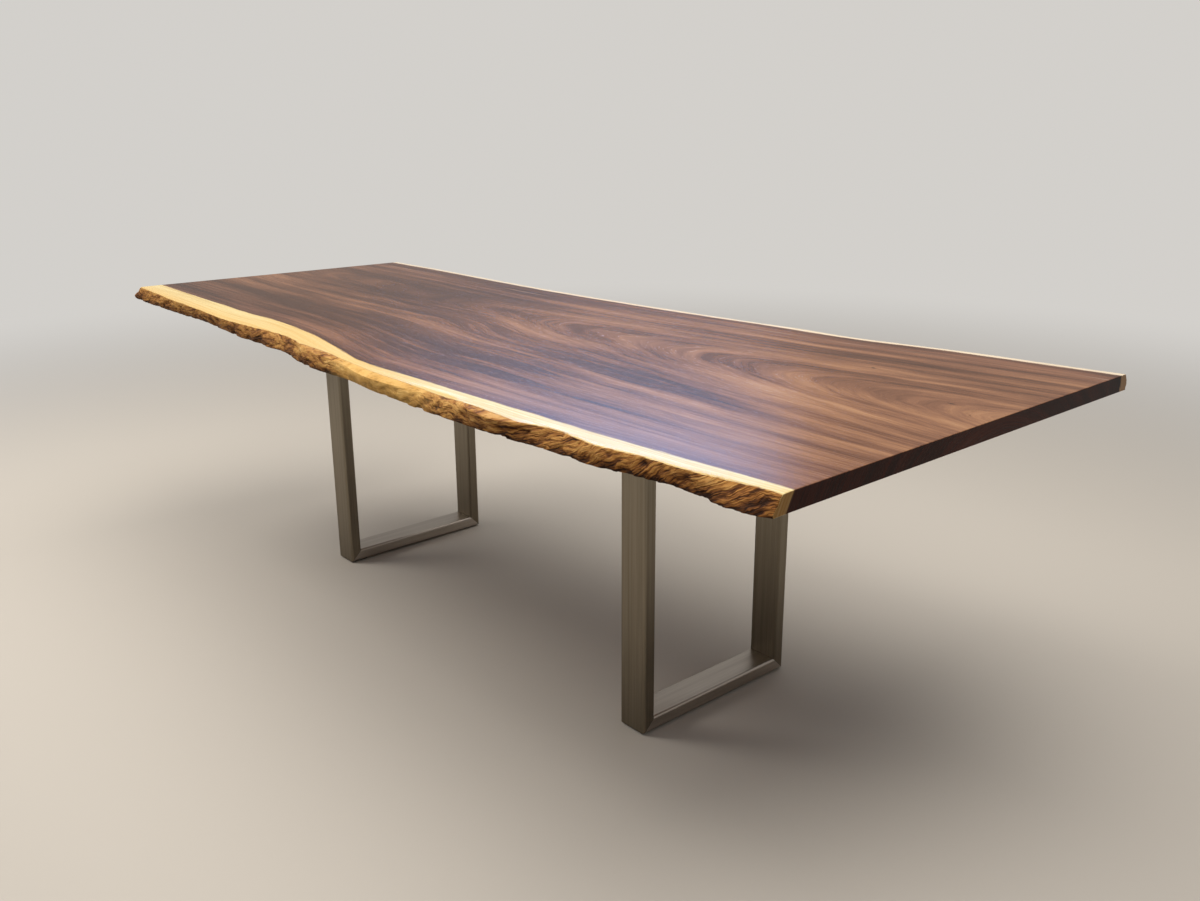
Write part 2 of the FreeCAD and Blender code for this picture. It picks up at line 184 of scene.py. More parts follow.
def settle(piece: bpy.types.Object, slot: Slot, *nodes: str) -> None:
    """Tie a finished piece to the table.

    Args:
        piece: The piece, in its place.
        slot: The record's finish; not used.
        *nodes: Solids that it stands for.
    """
    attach(piece, "root")
    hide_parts(*nodes)
    LOG.info("%s stands for %s, %d faces", piece.name, ", ".join(nodes), len(piece.data.polygons))


class NodeSheet:
    """A node tree, with short calls that add and feed its nodes."""

    def __init__(self, tree: bpy.types.NodeTree) -> None:
        """Take a node tree."""
        self.tree = tree

    def node(self, kind: str, **settings: object) -> bpy.types.Node:
        """Add a node.

        Args:
            kind: Blender's name for the node type.
            **settings: Properties of the node to set.

        Returns:
            The node.
        """
        made = self.tree.nodes.new(kind)
        for key, value in settings.items():
            setattr(made, key, value)
        return made

    def feed(self, socket: Socket, value: object) -> None:
        """Link a socket to another one, or set its own value.

        Args:
            socket: The input.
            value: An output to link, or a plain value.
        """
        if isinstance(value, Socket):
            self.tree.links.new(value, socket)
        else:
            socket.default_value = value

    def made(self, kind: str, *terms: object, **settings: object) -> Socket:
        """Add a node and feed its first inputs.

        Args:
            kind: Blender's name for the node type.
            *terms: Outputs or plain values, or None where an input keeps its own value.
            **settings: Properties of the node to set.

        Returns:
            The node's first output.
        """
        node = self.node(kind, **settings)
        for socket, term in zip(node.inputs, terms):
            if term is not None:
                self.feed(socket, term)
        return node.outputs[0]

    def math(self, operation: str, *terms: object) -> Socket:
        """Work out a number from outputs and plain numbers."""
        return self.made("ShaderNodeMath", *terms, operation=operation)


class ShaderSheet(NodeSheet):
    """A material's node tree, with short calls for what the finishes share."""

    def __init__(self, name: str) -> None:
        """Start a material.

        Args:
            name: Name of the material.
        """
        self.material = bpy.data.materials.new(name)
        self.material.use_nodes = True
        super().__init__(self.material.node_tree)
        self.surface = self.tree.nodes["Principled BSDF"]
        self.place = self.node("ShaderNodeTexCoord").outputs["Object"]
        split = self.node("ShaderNodeSeparateXYZ")
        self.feed(split.inputs[0], self.place)
        self.x, self.y, self.z = split.outputs

    def times(self, first: object, second: object) -> Socket:
        """Multiply two numbers."""
        return self.math("MULTIPLY", first, second)

    def add(self, start: object, *parts: tuple[object, object]) -> Socket:
        """Add weighted parts to a number.

        Args:
            start: The number.
            *parts: Outputs and their weights.

        Returns:
            The sum's output.
        """
        for part, weight in parts:
            start = self.math("MULTIPLY_ADD", part, weight, start)
        return start

    def centred(self, value: Socket) -> Socket:
        """Noise about 0, from noise about its usual middle."""
        return self.math("SUBTRACT", value, NOISE_MIDDLE)

    def step(self, value: object, start: float, end: float, height: float = 1.0) -> Socket:
        """A smooth step, from 0 where the value is at its start to a height where it is at its end."""
        return self.made("ShaderNodeMapRange", value, start, end, 0.0, height,
                         interpolation_type="SMOOTHSTEP")

    def window(self, value: Socket, rise: Pair, fall: Pair) -> Socket:
        """1 between a rise and a fall of the value, else 0."""
        return self.math("SUBTRACT", self.step(value, *rise), self.step(value, *fall))

    def oval(self, oval: Oval) -> Socket:
        """Squared distance from the middle of an oval on the top, 1 on its outline.

        Args:
            oval: X and Y of the middle, half the length and half the width.

        Returns:
            The distance's output.
        """
        x, y, half_length, half_width = oval
        along = self.math("DIVIDE", self.math("SUBTRACT", self.x, x), half_length)
        across = self.math("DIVIDE", self.math("SUBTRACT", self.y, y), half_width)
        return self.add(self.times(across, across), (along, along))

    def vector(self, x: object, y: object, z: object) -> Socket:
        """Join three numbers to a vector."""
        return self.made("ShaderNodeCombineXYZ", x, y, z)

    def noise(self, vector: Socket, pattern: Pattern) -> Socket:
        """Noise on stretched coordinates.

        Args:
            vector: Coordinates in metres.
            pattern: The noise.

        Returns:
            Output of the noise, about 0.5.
        """
        moved = self.made("ShaderNodeVectorMath", vector, pattern.stretch, pattern.shift,
                          operation="MULTIPLY_ADD")
        made = self.node("ShaderNodeTexNoise")
        for name, value in (("Vector", moved), ("Scale", 1.0), ("Detail", pattern.detail),
                            ("Roughness", pattern.roughness)):
            self.feed(made.inputs[name], value)
        return made.outputs[0]

    def layers(self, start: object, vector: Socket, *patterns: Pattern) -> Socket:
        """Add noises to a number, each by its weight."""
        return self.add(start, *((self.noise(vector, pattern), pattern.weight) for pattern in patterns))

    def ramp(self, share: Socket, stops: Run) -> Socket:
        """A run of colours.

        Args:
            share: Place in the run.
            stops: Places and their colours.

        Returns:
            The colour's output.
        """
        made = self.node("ShaderNodeValToRGB")
        run = made.color_ramp.elements
        for at, _ in stops[len(run):]:
            run.new(at)
        for element, (at, colour) in zip(run, stops):
            element.position = at
            element.color = opaque(colour)
        self.feed(made.inputs[0], share)
        return made.outputs[0]

    def mix(self, share: object, first: object, second: object, kind: str = "MIX") -> Socket:
        """Mix two colours.

        Args:
            share: How much of the second one.
            first: Output, or a plain colour.
            second: Output, or a plain colour.
            kind: Way of mixing.

        Returns:
            The colour's output.
        """
        made = self.node("ShaderNodeMix", data_type="RGBA", blend_type=kind)
        for socket, value in zip((made.inputs[0], *made.inputs[MIX_COLOURS]), (share, first, second)):
            self.feed(socket, opaque(value) if isinstance(value, tuple) else value)
        return made.outputs[MIX_RESULT]

    def between(self, share: Socket, first: object, second: object) -> Socket:
        """Mix two numbers, by the share of the second one."""
        return self.made("ShaderNodeMix", share, None, first, second, data_type="FLOAT")

    def attribute(self, name: str) -> Socket:
        """Read a number that the mesh carries."""
        return self.node("ShaderNodeAttribute", attribute_name=name).outputs["Fac"]

    def bump(self, height: Socket, distance: float, below: Socket | None = None) -> Socket:
        """Turn a height into a slope of the surface.

        Args:
            height: Height, about 0 to 1.
            distance: How many metres a height of 1 is.
            below: A coarser slope to start from.

        Returns:
            The normal's output.
        """
        made = self.node("ShaderNodeBump")
        self.feed(made.inputs["Distance"], distance)
        self.feed(made.inputs["Height"], height)
        if below:
            self.feed(made.inputs["Normal"], below)
        return made.outputs[0]

    def finish(self, **inputs: object) -> bpy.types.Material:
        """Set the surface's inputs.

        Args:
            **inputs: Values by input name, with _ for a space.

        Returns:
            The material.
        """
        for key, value in inputs.items():
            socket = self.surface.inputs[key.replace("_", " ")]
            self.feed(socket, opaque(value) if isinstance(value, tuple) else value)
        return self.material


@dataclass(frozen=True)
class SlabWood:
    """Polished dark heartwood with cream sapwood and a raw live edge."""

    heart: Run = (
        (0.34, (0.060, 0.022, 0.010)),
        (0.43, (0.124, 0.049, 0.022)),
        (0.51, (0.200, 0.087, 0.043)),
        (0.59, (0.295, 0.140, 0.066)),
        (0.70, (0.395, 0.210, 0.105)),
    )
    sap: Run = (
        (0.32, (0.590, 0.400, 0.145)),
        (0.50, (0.715, 0.545, 0.240)),
        (0.68, (0.800, 0.660, 0.345)),
    )
    raw: Run = (
        (0.30, (0.030, 0.011, 0.004)),
        (0.40, (0.130, 0.048, 0.012)),
        (0.48, (0.320, 0.138, 0.034)),
        (0.56, (0.510, 0.265, 0.070)),
        (0.68, (0.650, 0.400, 0.140)),
    )
    # Purple cast of the outer heartwood, partly the wood's own and partly a painted bluish sheen.
    outer_purple_and_sheen: Colour = (0.66, 0.60, 0.74)
    outer_sap: Colour = (0.710, 0.440, 0.130)
    streak_colour: Colour = (0.520, 0.360, 0.230)
    back_sap: Colour = (0.740, 0.620, 0.490)
    raw_red: Colour = (0.92, 0.80, 0.70)
    raw_golden: Colour = (0.720, 0.440, 0.120)
    # End cuts are darkened, partly as end grain and partly as painted shade.
    end_grain_and_shade_tint: Colour = (0.140, 0.044, 0.026)
    end_sap_grain_and_shade_tint: Colour = (0.42, 0.30, 0.21)
    check_colour: Colour = (0.012, 0.007, 0.005)

    # The grain, and the heartwood's tone.
    wander: Pattern = Pattern((2.4, 6.0, 6.0), 3.0, weight=0.007)
    broad: Pattern = Pattern((0.9, 25.0, 1.0), shift=(3.1, 0.0, 0.0), weight=0.54)
    bands: Pattern = Pattern((1.7, 90.0, 1.0), 3.0, 0.55, (0.0, 7.3, 0.0), 0.40)
    streaks: Pattern = Pattern((9.0, 420.0, 6.0), 4.0, 0.65, (0.0, 0.0, 5.9), 0.40)
    clouds: Pattern = Pattern((1.6, 3.4, 3.0), shift=(9.0, 4.0, 0.0), weight=0.36)
    pores: Pattern = Pattern((52.0, 2400.0, 40.0))
    pore_span: Pair = (0.60, 0.72)
    pore_share: float = 0.35
    tone_start: float = -0.360
    flame_span: Pair = (0.266, 0.248)
    flame_weight: float = 0.075
    calm_span: Pair = (0.0, -0.8)
    calm_share: float = 0.20
    calm_tone: float = 0.42
    pale_patch: Oval = (0.16, 0.02, 0.34641, 0.13324)
    pale_weight: float = 0.095
    # Painted shade over the front-left of the top: where it sets in across and along, and how much it
    # darkens.
    painted_shade_across: Pair = (-0.05, -0.35)
    painted_shade_along: Pair = (0.55, 0.15)
    painted_shade_weight: float = -0.042
    outer_span: Pair = (-0.20, -0.01)
    outer_share: float = 0.70

    # A pale streak beside the back edge, and end checks with pin knots.
    line_drift: Pattern = Pattern((1.7, 0.0, 0.0), 1.0, shift=(2.0, 0.0, 0.0), weight=0.02)
    line_depth: float = 0.044
    line_span: Pair = (0.0024, 0.0005)
    line_gaps: Pattern = Pattern((3.4, 0.0, 0.0), 2.0, 0.6, (7.0, 0.0, 0.0))
    line_gap_span: Pair = (0.42, 0.60)
    line_side: Pair = (0.05, 0.15)
    line_share: float = 0.75
    check_span: Pair = (1.2, 0.4)
    check_ovals: tuple[Oval, ...] = (
        (-1.165, -0.007, 0.034, 0.0022),
        (-1.02, -0.232, 0.012, 0.0016),
        (0.85, 0.243, 0.006, 0.0022),
        (0.93, 0.236, 0.045, 0.0006),
        (1.12, 0.118, 0.010, 0.0018),
    )

    # The sapwood.
    fibres: Pattern = Pattern((3.0, 260.0, 3.0), 3.0, 0.6, (0.0, 1.7, 2.2))
    golden_rise: Pair = (-0.70, -0.30)
    golden_fall: Pair = (0.05, 0.40)
    golden_share: float = 0.55
    golden_span: Pair = (0.018, 0.070)
    golden_rim: float = 0.60
    back_span: Pair = (0.1, 0.2)
    back_share: float = 0.8
    feather: float = 0.020
    feather_span: Pair = (-0.0030, 0.0030)

    # The raw edge.
    drift: Pattern = Pattern((4.5, 4.5, 6.0), 1.0, shift=(6.0, 1.0, 0.0), weight=0.11)
    kink: Pattern = Pattern((38.0, 38.0, 60.0), weight=0.012)
    slant_start: float = 0.72
    slant: float = -0.42
    strands: Pattern = Pattern((12.0, 110.0, 1.0), 4.0, 0.60, weight=0.55)
    threads: Pattern = Pattern((45.0, 520.0, 1.0), 3.0, 0.6, (0.0, 3.0, 0.0), 0.36)
    patches: Pattern = Pattern((11.0, 11.0, 30.0), 3.0, 0.6, weight=0.40)
    mottle: Pattern = Pattern((26.0, 26.0, 34.0), 4.0, 0.65, (4.0, 4.0, 0.0), 1.05)
    cracks: tuple[tuple[Pattern, float], ...] = (
        (Pattern((9.0, 80.0, 1.0), shift=(8.0, 0.0, 0.0)), 0.060),
        (Pattern((26.0, 230.0, 1.0), shift=(2.0, 9.0, 0.0), weight=0.8), 0.045),
    )
    smooth_rise: Pair = (-0.04, 0.09)
    smooth_fall: Pair = (0.30, 0.46)
    smooth_cracks: float = -0.8
    smooth_golden: float = 0.46
    right_span: Pair = (0.2, 0.9)
    right_red: float = 0.7
    left_span: Pair = (0.02, -0.12)
    left_share: float = 0.40
    left_tone: float = 0.54
    # Heights over which painted shade darkens the raw face towards its underside.
    low_shade_span: Pair = (0.752, 0.731)
    # How much the painted shade of the edge's hollows and lower rim darkens the raw face.
    painted_edge_shade_weight: float = -0.15
    crack_weight: float = -0.11
    right_weight: float = -0.040
    # How much the painted shade towards the underside darkens the raw face.
    low_painted_shade: float = -0.085
    # Painted shade that darkens the raw face's left end.
    left_painted_shade: float = -0.060
    raw_darker: float = 0.040
    raw_feather: float = 1.3
    raw_span: Pair = (0.30, 0.62)

    # The polish and the fine relief.
    polish: float = 0.17
    polish_streaks: float = 0.10
    polish_pores: float = 0.12
    raw_roughness: float = 0.62
    refraction: float = 1.2
    streak_relief: float = 0.4
    pore_relief: float = -0.6
    fine_depth: float = 0.00006
    thread_relief: float = 0.5
    crack_relief: float = -0.4
    raw_depth: float = 0.0030

    def tone(self, sheet: "GrainSheet") -> Socket:
        """Shade of the heartwood: bands of growth with a flame, calm and pale places, and painted shade over
        the front-left.

        Args:
            sheet: The material's sheet.

        Returns:
            Output of the shade, about 0.5.
        """
        tone = sheet.layers(self.tone_start, sheet.grain, self.broad, self.bands)
        tone = sheet.layers(tone, sheet.place, self.clouds)
        flame = sheet.step(sheet.ring, *self.flame_span)
        tone = sheet.add(tone, (sheet.streak, self.streaks.weight), (flame, self.flame_weight))
        calm = sheet.step(sheet.x, *self.calm_span, self.calm_share)
        tone = sheet.between(calm, tone, self.calm_tone)
        pale = sheet.step(sheet.oval(self.pale_patch), 1.0, 0.0)
        # Painted shade darkens the front-left of the top.
        top_painted_shade = sheet.times(sheet.step(sheet.y, *self.painted_shade_across), sheet.step(sheet.x, *self.painted_shade_along))
        return sheet.add(tone, (pale, self.pale_weight), (top_painted_shade, self.painted_shade_weight))

    def pale_line(self, sheet: "GrainSheet") -> Socket:
        """A thin pale streak that comes and goes beside the back edge, as a mask.

        Args:
            sheet: The material's sheet.

        Returns:
            Output that is largest on the streak.
        """
        depth = sheet.layers(self.line_depth, sheet.place, self.line_drift)
        line = sheet.step(sheet.math("ABSOLUTE", sheet.math("ADD", sheet.sap, depth)), *self.line_span)
        gaps = sheet.noise(sheet.place, self.line_gaps)
        shown = sheet.step(gaps, *self.line_gap_span, self.line_share)
        return sheet.times(sheet.times(line, sheet.step(sheet.y, *self.line_side)), shown)

    def heartwood(self, sheet: "GrainSheet") -> Socket:
        """Colour of the heartwood, with its pores, and its end cuts darkened partly as end grain and partly
        as painted shade.

        Args:
            sheet: The material's sheet.

        Returns:
            The colour's output.
        """
        heart = sheet.ramp(self.tone(sheet), self.heart)
        heart = sheet.mix(self.pale_line(sheet), heart, self.streak_colour)
        # The outer heartwood takes a purple cast, partly its own and partly painted bluish sheen.
        outer = sheet.step(sheet.sap, *self.outer_span, self.outer_share)
        heart = sheet.mix(outer, heart, self.outer_purple_and_sheen, "MULTIPLY")
        _, darkest = self.heart[0]
        heart = sheet.mix(sheet.times(sheet.pores, self.pore_share), heart, darkest)
        return sheet.mix(sheet.end, heart, self.end_grain_and_shade_tint, "MULTIPLY")

    def sapwood(self, sheet: "GrainSheet") -> Socket:
        """Colour of the sapwood: cream, golden in a stretch and at the rim, whiter at the back.

        Args:
            sheet: The material's sheet.

        Returns:
            The colour's output.
        """
        cream = sheet.ramp(sheet.noise(sheet.grain, self.fibres), self.sap)
        stretch = sheet.window(sheet.x, self.golden_rise, self.golden_fall)
        rim = sheet.step(sheet.sap, *self.golden_span, self.golden_rim)
        golden = sheet.math("MAXIMUM", rim, sheet.times(stretch, self.golden_share))
        cream = sheet.mix(golden, cream, self.outer_sap)
        cream = sheet.mix(sheet.step(sheet.y, *self.back_span, self.back_share), cream, self.back_sap)
        # The end cuts' sapwood is darkened, partly as end grain and partly as painted shade.
        return sheet.mix(sheet.end, cream, self.end_sap_grain_and_shade_tint, "MULTIPLY")

    def checks(self, sheet: "GrainSheet") -> Socket:
        """Short end checks and pin knots, as a mask.

        Args:
            sheet: The material's sheet.

        Returns:
            Output that is 1 on a check.
        """
        total: object = 0.0
        for oval in self.check_ovals:
            total = sheet.math("MAXIMUM", total, sheet.step(sheet.oval(oval), *self.check_span))
        return total

    def live_edge(self, sheet: "GrainSheet") -> tuple[Socket, Socket, Socket]:
        """The raw edge under the bark: strands that slant across it, with cracks and painted shade.

        Args:
            sheet: The material's sheet.

        Returns:
            Outputs of the strands, of the relief's height and of the colour.
        """
        slant = sheet.math("MAXIMUM", sheet.math("SUBTRACT", sheet.x, self.slant_start), 0.0)
        lay = sheet.layers(sheet.z, sheet.place, self.drift, self.kink)
        run = sheet.vector(sheet.x, sheet.add(lay, (slant, self.slant)), 0.0)
        strands = sheet.noise(run, self.strands)
        threads = sheet.noise(run, self.threads)
        smooth = sheet.window(sheet.x, self.smooth_rise, self.smooth_fall)
        right = sheet.step(sheet.x, *self.right_span)
        left = sheet.step(sheet.x, *self.left_span)
        cracks: object = 0.0
        for pattern, width in self.cracks:
            split = sheet.math("ABSOLUTE", sheet.centred(sheet.noise(run, pattern)))
            cracks = sheet.math("ADD", cracks, sheet.step(split, width, 0.0, pattern.weight))
        cracks = sheet.times(cracks, sheet.add(1.0, (smooth, self.smooth_cracks)))
        mottle = sheet.times(sheet.centred(sheet.noise(sheet.place, self.mottle)), smooth)
        shade = sheet.layers(0.0, sheet.place, self.patches)
        # Painted shade also darkens the raw face towards its underside.
        # Painted shade in the edge's hollows and along its lower rim darkens the raw face.
        shade = sheet.add(
            shade, (strands, self.strands.weight), (threads, self.threads.weight),
            (mottle, self.mottle.weight), (sheet.pit, self.painted_edge_shade_weight), (cracks, self.crack_weight),
            (right, self.right_weight), (left, self.left_painted_shade),
            (sheet.step(sheet.z, *self.low_shade_span), self.low_painted_shade))
        # The left end, darkened above by painted shade, is also drawn toward a calm mid tone.
        shade = sheet.between(sheet.times(left, self.left_share), shade, self.left_tone)
        bare = sheet.ramp(sheet.math("SUBTRACT", shade, self.raw_darker), self.raw)
        bare = sheet.mix(sheet.times(smooth, self.smooth_golden), bare, self.raw_golden)
        bare = sheet.mix(sheet.times(right, self.right_red), bare, self.raw_red, "MULTIPLY")
        relief = sheet.add(strands, (threads, self.thread_relief), (cracks, self.crack_relief))
        return strands, relief, bare

    def material(self) -> bpy.types.Material:
        """Make the material.

        Returns:
            The material, which reads ring, sap, raw, end and the live edges' painted shade from its mesh.
        """
        sheet = GrainSheet(self)
        feathered = sheet.add(sheet.sap, (sheet.centred(sheet.streak), self.feather))
        in_sap = sheet.step(feathered, *self.feather_span)
        body = sheet.mix(in_sap, self.heartwood(sheet), self.sapwood(sheet))
        body = sheet.mix(self.checks(sheet), body, self.check_colour)
        strands, lumps, bare = self.live_edge(sheet)
        edge = sheet.add(sheet.raw, (sheet.centred(strands), self.raw_feather))
        raw = sheet.step(edge, *self.raw_span)
        gloss = sheet.add(self.polish, (sheet.streak, self.polish_streaks),
                          (sheet.pores, self.polish_pores))
        fine = sheet.add(0.0, (sheet.streak, self.streak_relief), (sheet.pores, self.pore_relief))
        slope = sheet.bump(fine, self.fine_depth)
        slope = sheet.bump(sheet.times(lumps, raw), self.raw_depth, slope)
        return sheet.finish(
            Base_Color=sheet.mix(raw, body, bare), Normal=slope, IOR=self.refraction,
            Roughness=sheet.between(raw, gloss, self.raw_roughness))


class GrainSheet(ShaderSheet):
    """The slab's sheet, with the numbers that its mesh carries and the fine lines of its grain."""

    def __init__(self, wood: SlabWood) -> None:
        """Start the material.

        Args:
            wood: The finish.
        """
        super().__init__(Slot.WOOD.value)
        # The mesh carries the painted shade of the live edges' hollows and lower rims.
        self.pit, self.end, self.sap, self.raw = map(self.attribute, ("pit", "end", "sap", "raw"))
        self.ring = self.layers(self.attribute("ring"), self.place, wood.wander)
        self.grain = self.vector(self.x, self.ring, self.z)
        self.streak = self.noise(self.grain, wood.streaks)
        self.pores = self.step(self.noise(self.grain, wood.pores), *wood.pore_span)


@dataclass(frozen=True)
class BrushedSteel:
    """Brushed stainless tube, with hairlines where the mitres are ground flush."""

    name: str
    way: Brushing
    # These default tones, far darker than bare stainless, are painted shade for the uprights' dim
    # reflections.
    light: Colour = (0.250, 0.215, 0.164)
    dark: Colour = (0.178, 0.149, 0.108)
    seam: Colour = (0.060, 0.050, 0.042)
    seam_share: float = 0.75
    seam_span: Pair = (0.0012, 0.0003)
    mitre_front: float = -0.265
    mitre_rear: float = 0.189
    mitre_floor: float = 0.004
    tube_depth: float = 0.032
    tube_blend: float = 0.001
    line_waves: Pair = (900.0, 7.0)
    band_waves: Pair = (150.0, 2.0)
    band_shift: Place = (4.0, 2.0, 1.0)
    smudge: Pattern = Pattern((7.0, 7.0, 5.0), 3.0, 0.6, (1.0, 8.0, 3.0), 0.14)
    layer_detail: float = 3.0
    layer_roughness: float = 0.6
    tone_share: float = 0.5
    tone_span: Pair = (0.30, 0.70)
    roughness: float = 0.20
    line_roughness: float = 0.16
    line_depth: float = 0.00005
    anisotropy: float = 0.55

    def brushed(self, waves: Pair, shift: Place = (0.0, 0.0, 0.0)) -> Pattern:
        """A noise drawn out along the brushing.

        Args:
            waves: Waves per metre across the fine lines and along them.
            shift: Offset of the noise.

        Returns:
            The noise.
        """
        across, along = waves
        stretch = tuple(along if axis == self.way.value else across for axis in "XYZ")
        return Pattern(stretch, self.layer_detail, self.layer_roughness, shift)

    def seams(self, sheet: ShaderSheet) -> Socket:
        """The ground mitres at the foot of a leg, as a mask.

        Args:
            sheet: The material's sheet.

        Returns:
            Output that is largest on a seam.
        """
        up = sheet.math("SUBTRACT", sheet.z, self.mitre_floor)
        front = sheet.math("SUBTRACT", sheet.math("SUBTRACT", sheet.y, self.mitre_front), up)
        rear = sheet.math("SUBTRACT", sheet.math("SUBTRACT", self.mitre_rear, sheet.y), up)
        near = sheet.math("MINIMUM", sheet.math("ABSOLUTE", front), sheet.math("ABSOLUTE", rear))
        low = sheet.step(up, self.tube_depth + self.tube_blend, self.tube_depth)
        return sheet.times(sheet.step(near, *self.seam_span, self.seam_share), low)

    def material(self) -> bpy.types.Material:
        """Make the material.

        Returns:
            The material.
        """
        sheet = ShaderSheet(self.name)
        lines = sheet.noise(sheet.place, self.brushed(self.line_waves))
        bands = sheet.noise(sheet.place, self.brushed(self.band_waves, self.band_shift))
        tone = sheet.between(self.tone_share, lines, bands)
        colour = sheet.mix(sheet.step(tone, *self.tone_span), self.dark, self.light)
        gloss = sheet.add(self.roughness, (lines, self.line_roughness))
        tangent = sheet.node("ShaderNodeTangent", direction_type="RADIAL", axis=self.way.value)
        return sheet.finish(
            Base_Color=sheet.mix(self.seams(sheet), colour, self.seam), Metallic=1.0,
            Roughness=sheet.layers(gloss, sheet.place, self.smudge), Anisotropic=self.anisotropy,
            Tangent=tangent.outputs[0], Normal=sheet.bump(lines, self.line_depth))


@dataclass(frozen=True)
class MottledMetal:
    """Metal with a fine mottle, for plates, welds, bolts, washers and inserts."""

    name: str
    light: Colour
    dark: Colour
    mottle: float
    roughness: float
    relief: float
    grit_finer: float = 9.0
    grit_share: float = 0.4
    tone_span: Pair = (0.32, 0.68)
    roughness_swing: float = 0.24
    broad_detail: float = 4.0
    grit_detail: float = 3.0
    layer_roughness: float = 0.6
    grit_shift: Place = (2.0, 5.0, 1.0)

    def material(self) -> bpy.types.Material:
        """Make the material.

        Returns:
            The material.
        """
        sheet = ShaderSheet(self.name)
        fine = self.mottle * self.grit_finer
        broad = sheet.noise(
            sheet.place, Pattern((self.mottle,) * 3, self.broad_detail, self.layer_roughness))
        grit = sheet.noise(
            sheet.place, Pattern((fine,) * 3, self.grit_detail, self.layer_roughness, self.grit_shift))
        tone = sheet.between(self.grit_share, broad, grit)
        colour = sheet.mix(sheet.step(tone, *self.tone_span), self.dark, self.light)
        gloss = sheet.add(self.roughness - self.roughness_swing / 2, (tone, self.roughness_swing))
        return sheet.finish(Base_Color=colour, Metallic=1.0, Roughness=gloss,
                            Normal=sheet.bump(grit, self.relief))


@dataclass(frozen=True)
class PadRubber:
    """Dull black rubber with a pebbled face."""

    light: Colour = (0.030, 0.029, 0.028)
    dark: Colour = (0.012, 0.012, 0.012)
    pebble: Pattern = Pattern((700.0, 700.0, 700.0))
    pebble_depth: float = 0.0002
    dust: Pattern = Pattern((40.0, 40.0, 40.0), 3.0, 0.6, weight=0.2)
    dust_span: Pair = (0.4, 0.65)
    roughness: float = 0.6

    def material(self) -> bpy.types.Material:
        """Make the material.

        Returns:
            The material.
        """
        sheet = ShaderSheet(Slot.PAD.value)
        dust = sheet.noise(sheet.place, self.dust)
        pebble = sheet.noise(sheet.place, self.pebble)
        return sheet.finish(
            Base_Color=sheet.mix(sheet.step(dust, *self.dust_span), self.dark, self.light),
            Roughness=sheet.add(self.roughness, (dust, self.dust.weight)),
            Normal=sheet.bump(pebble, self.pebble_depth))


METALS = {
    Slot.BOLT: MottledMetal(
        "bolt_steel", (0.62, 0.61, 0.59), (0.42, 0.41, 0.40), mottle=120.0, roughness=0.34, relief=0.00002),
    Slot.WELD: MottledMetal(
        "weld_steel", (0.46, 0.41, 0.35), (0.20, 0.16, 0.13), mottle=90.0, roughness=0.40, relief=0.00008),
    Slot.INSERT: MottledMetal(
        "insert_brass", (0.72, 0.50, 0.20), (0.50, 0.32, 0.11), mottle=90.0, roughness=0.36, relief=0.00003),
}
PLATE = MottledMetal(
    "plate_steel", (0.36, 0.33, 0.29), (0.22, 0.20, 0.175), mottle=26.0, roughness=0.42, relief=0.00004)
# The uprights' steel, its tones darkened as painted shade.
UPRIGHT = BrushedSteel("leg_steel_upright", Brushing.UPRIGHT)
# The floor bar's steel, lighter than the uprights' as a painted highlight on its top.
HIGHLIT_FLOOR_BAR_STEEL = BrushedSteel(
    "leg_steel_bar", Brushing.ALONG_BAR, light=(0.480, 0.425, 0.370), dark=(0.360, 0.315, 0.270))


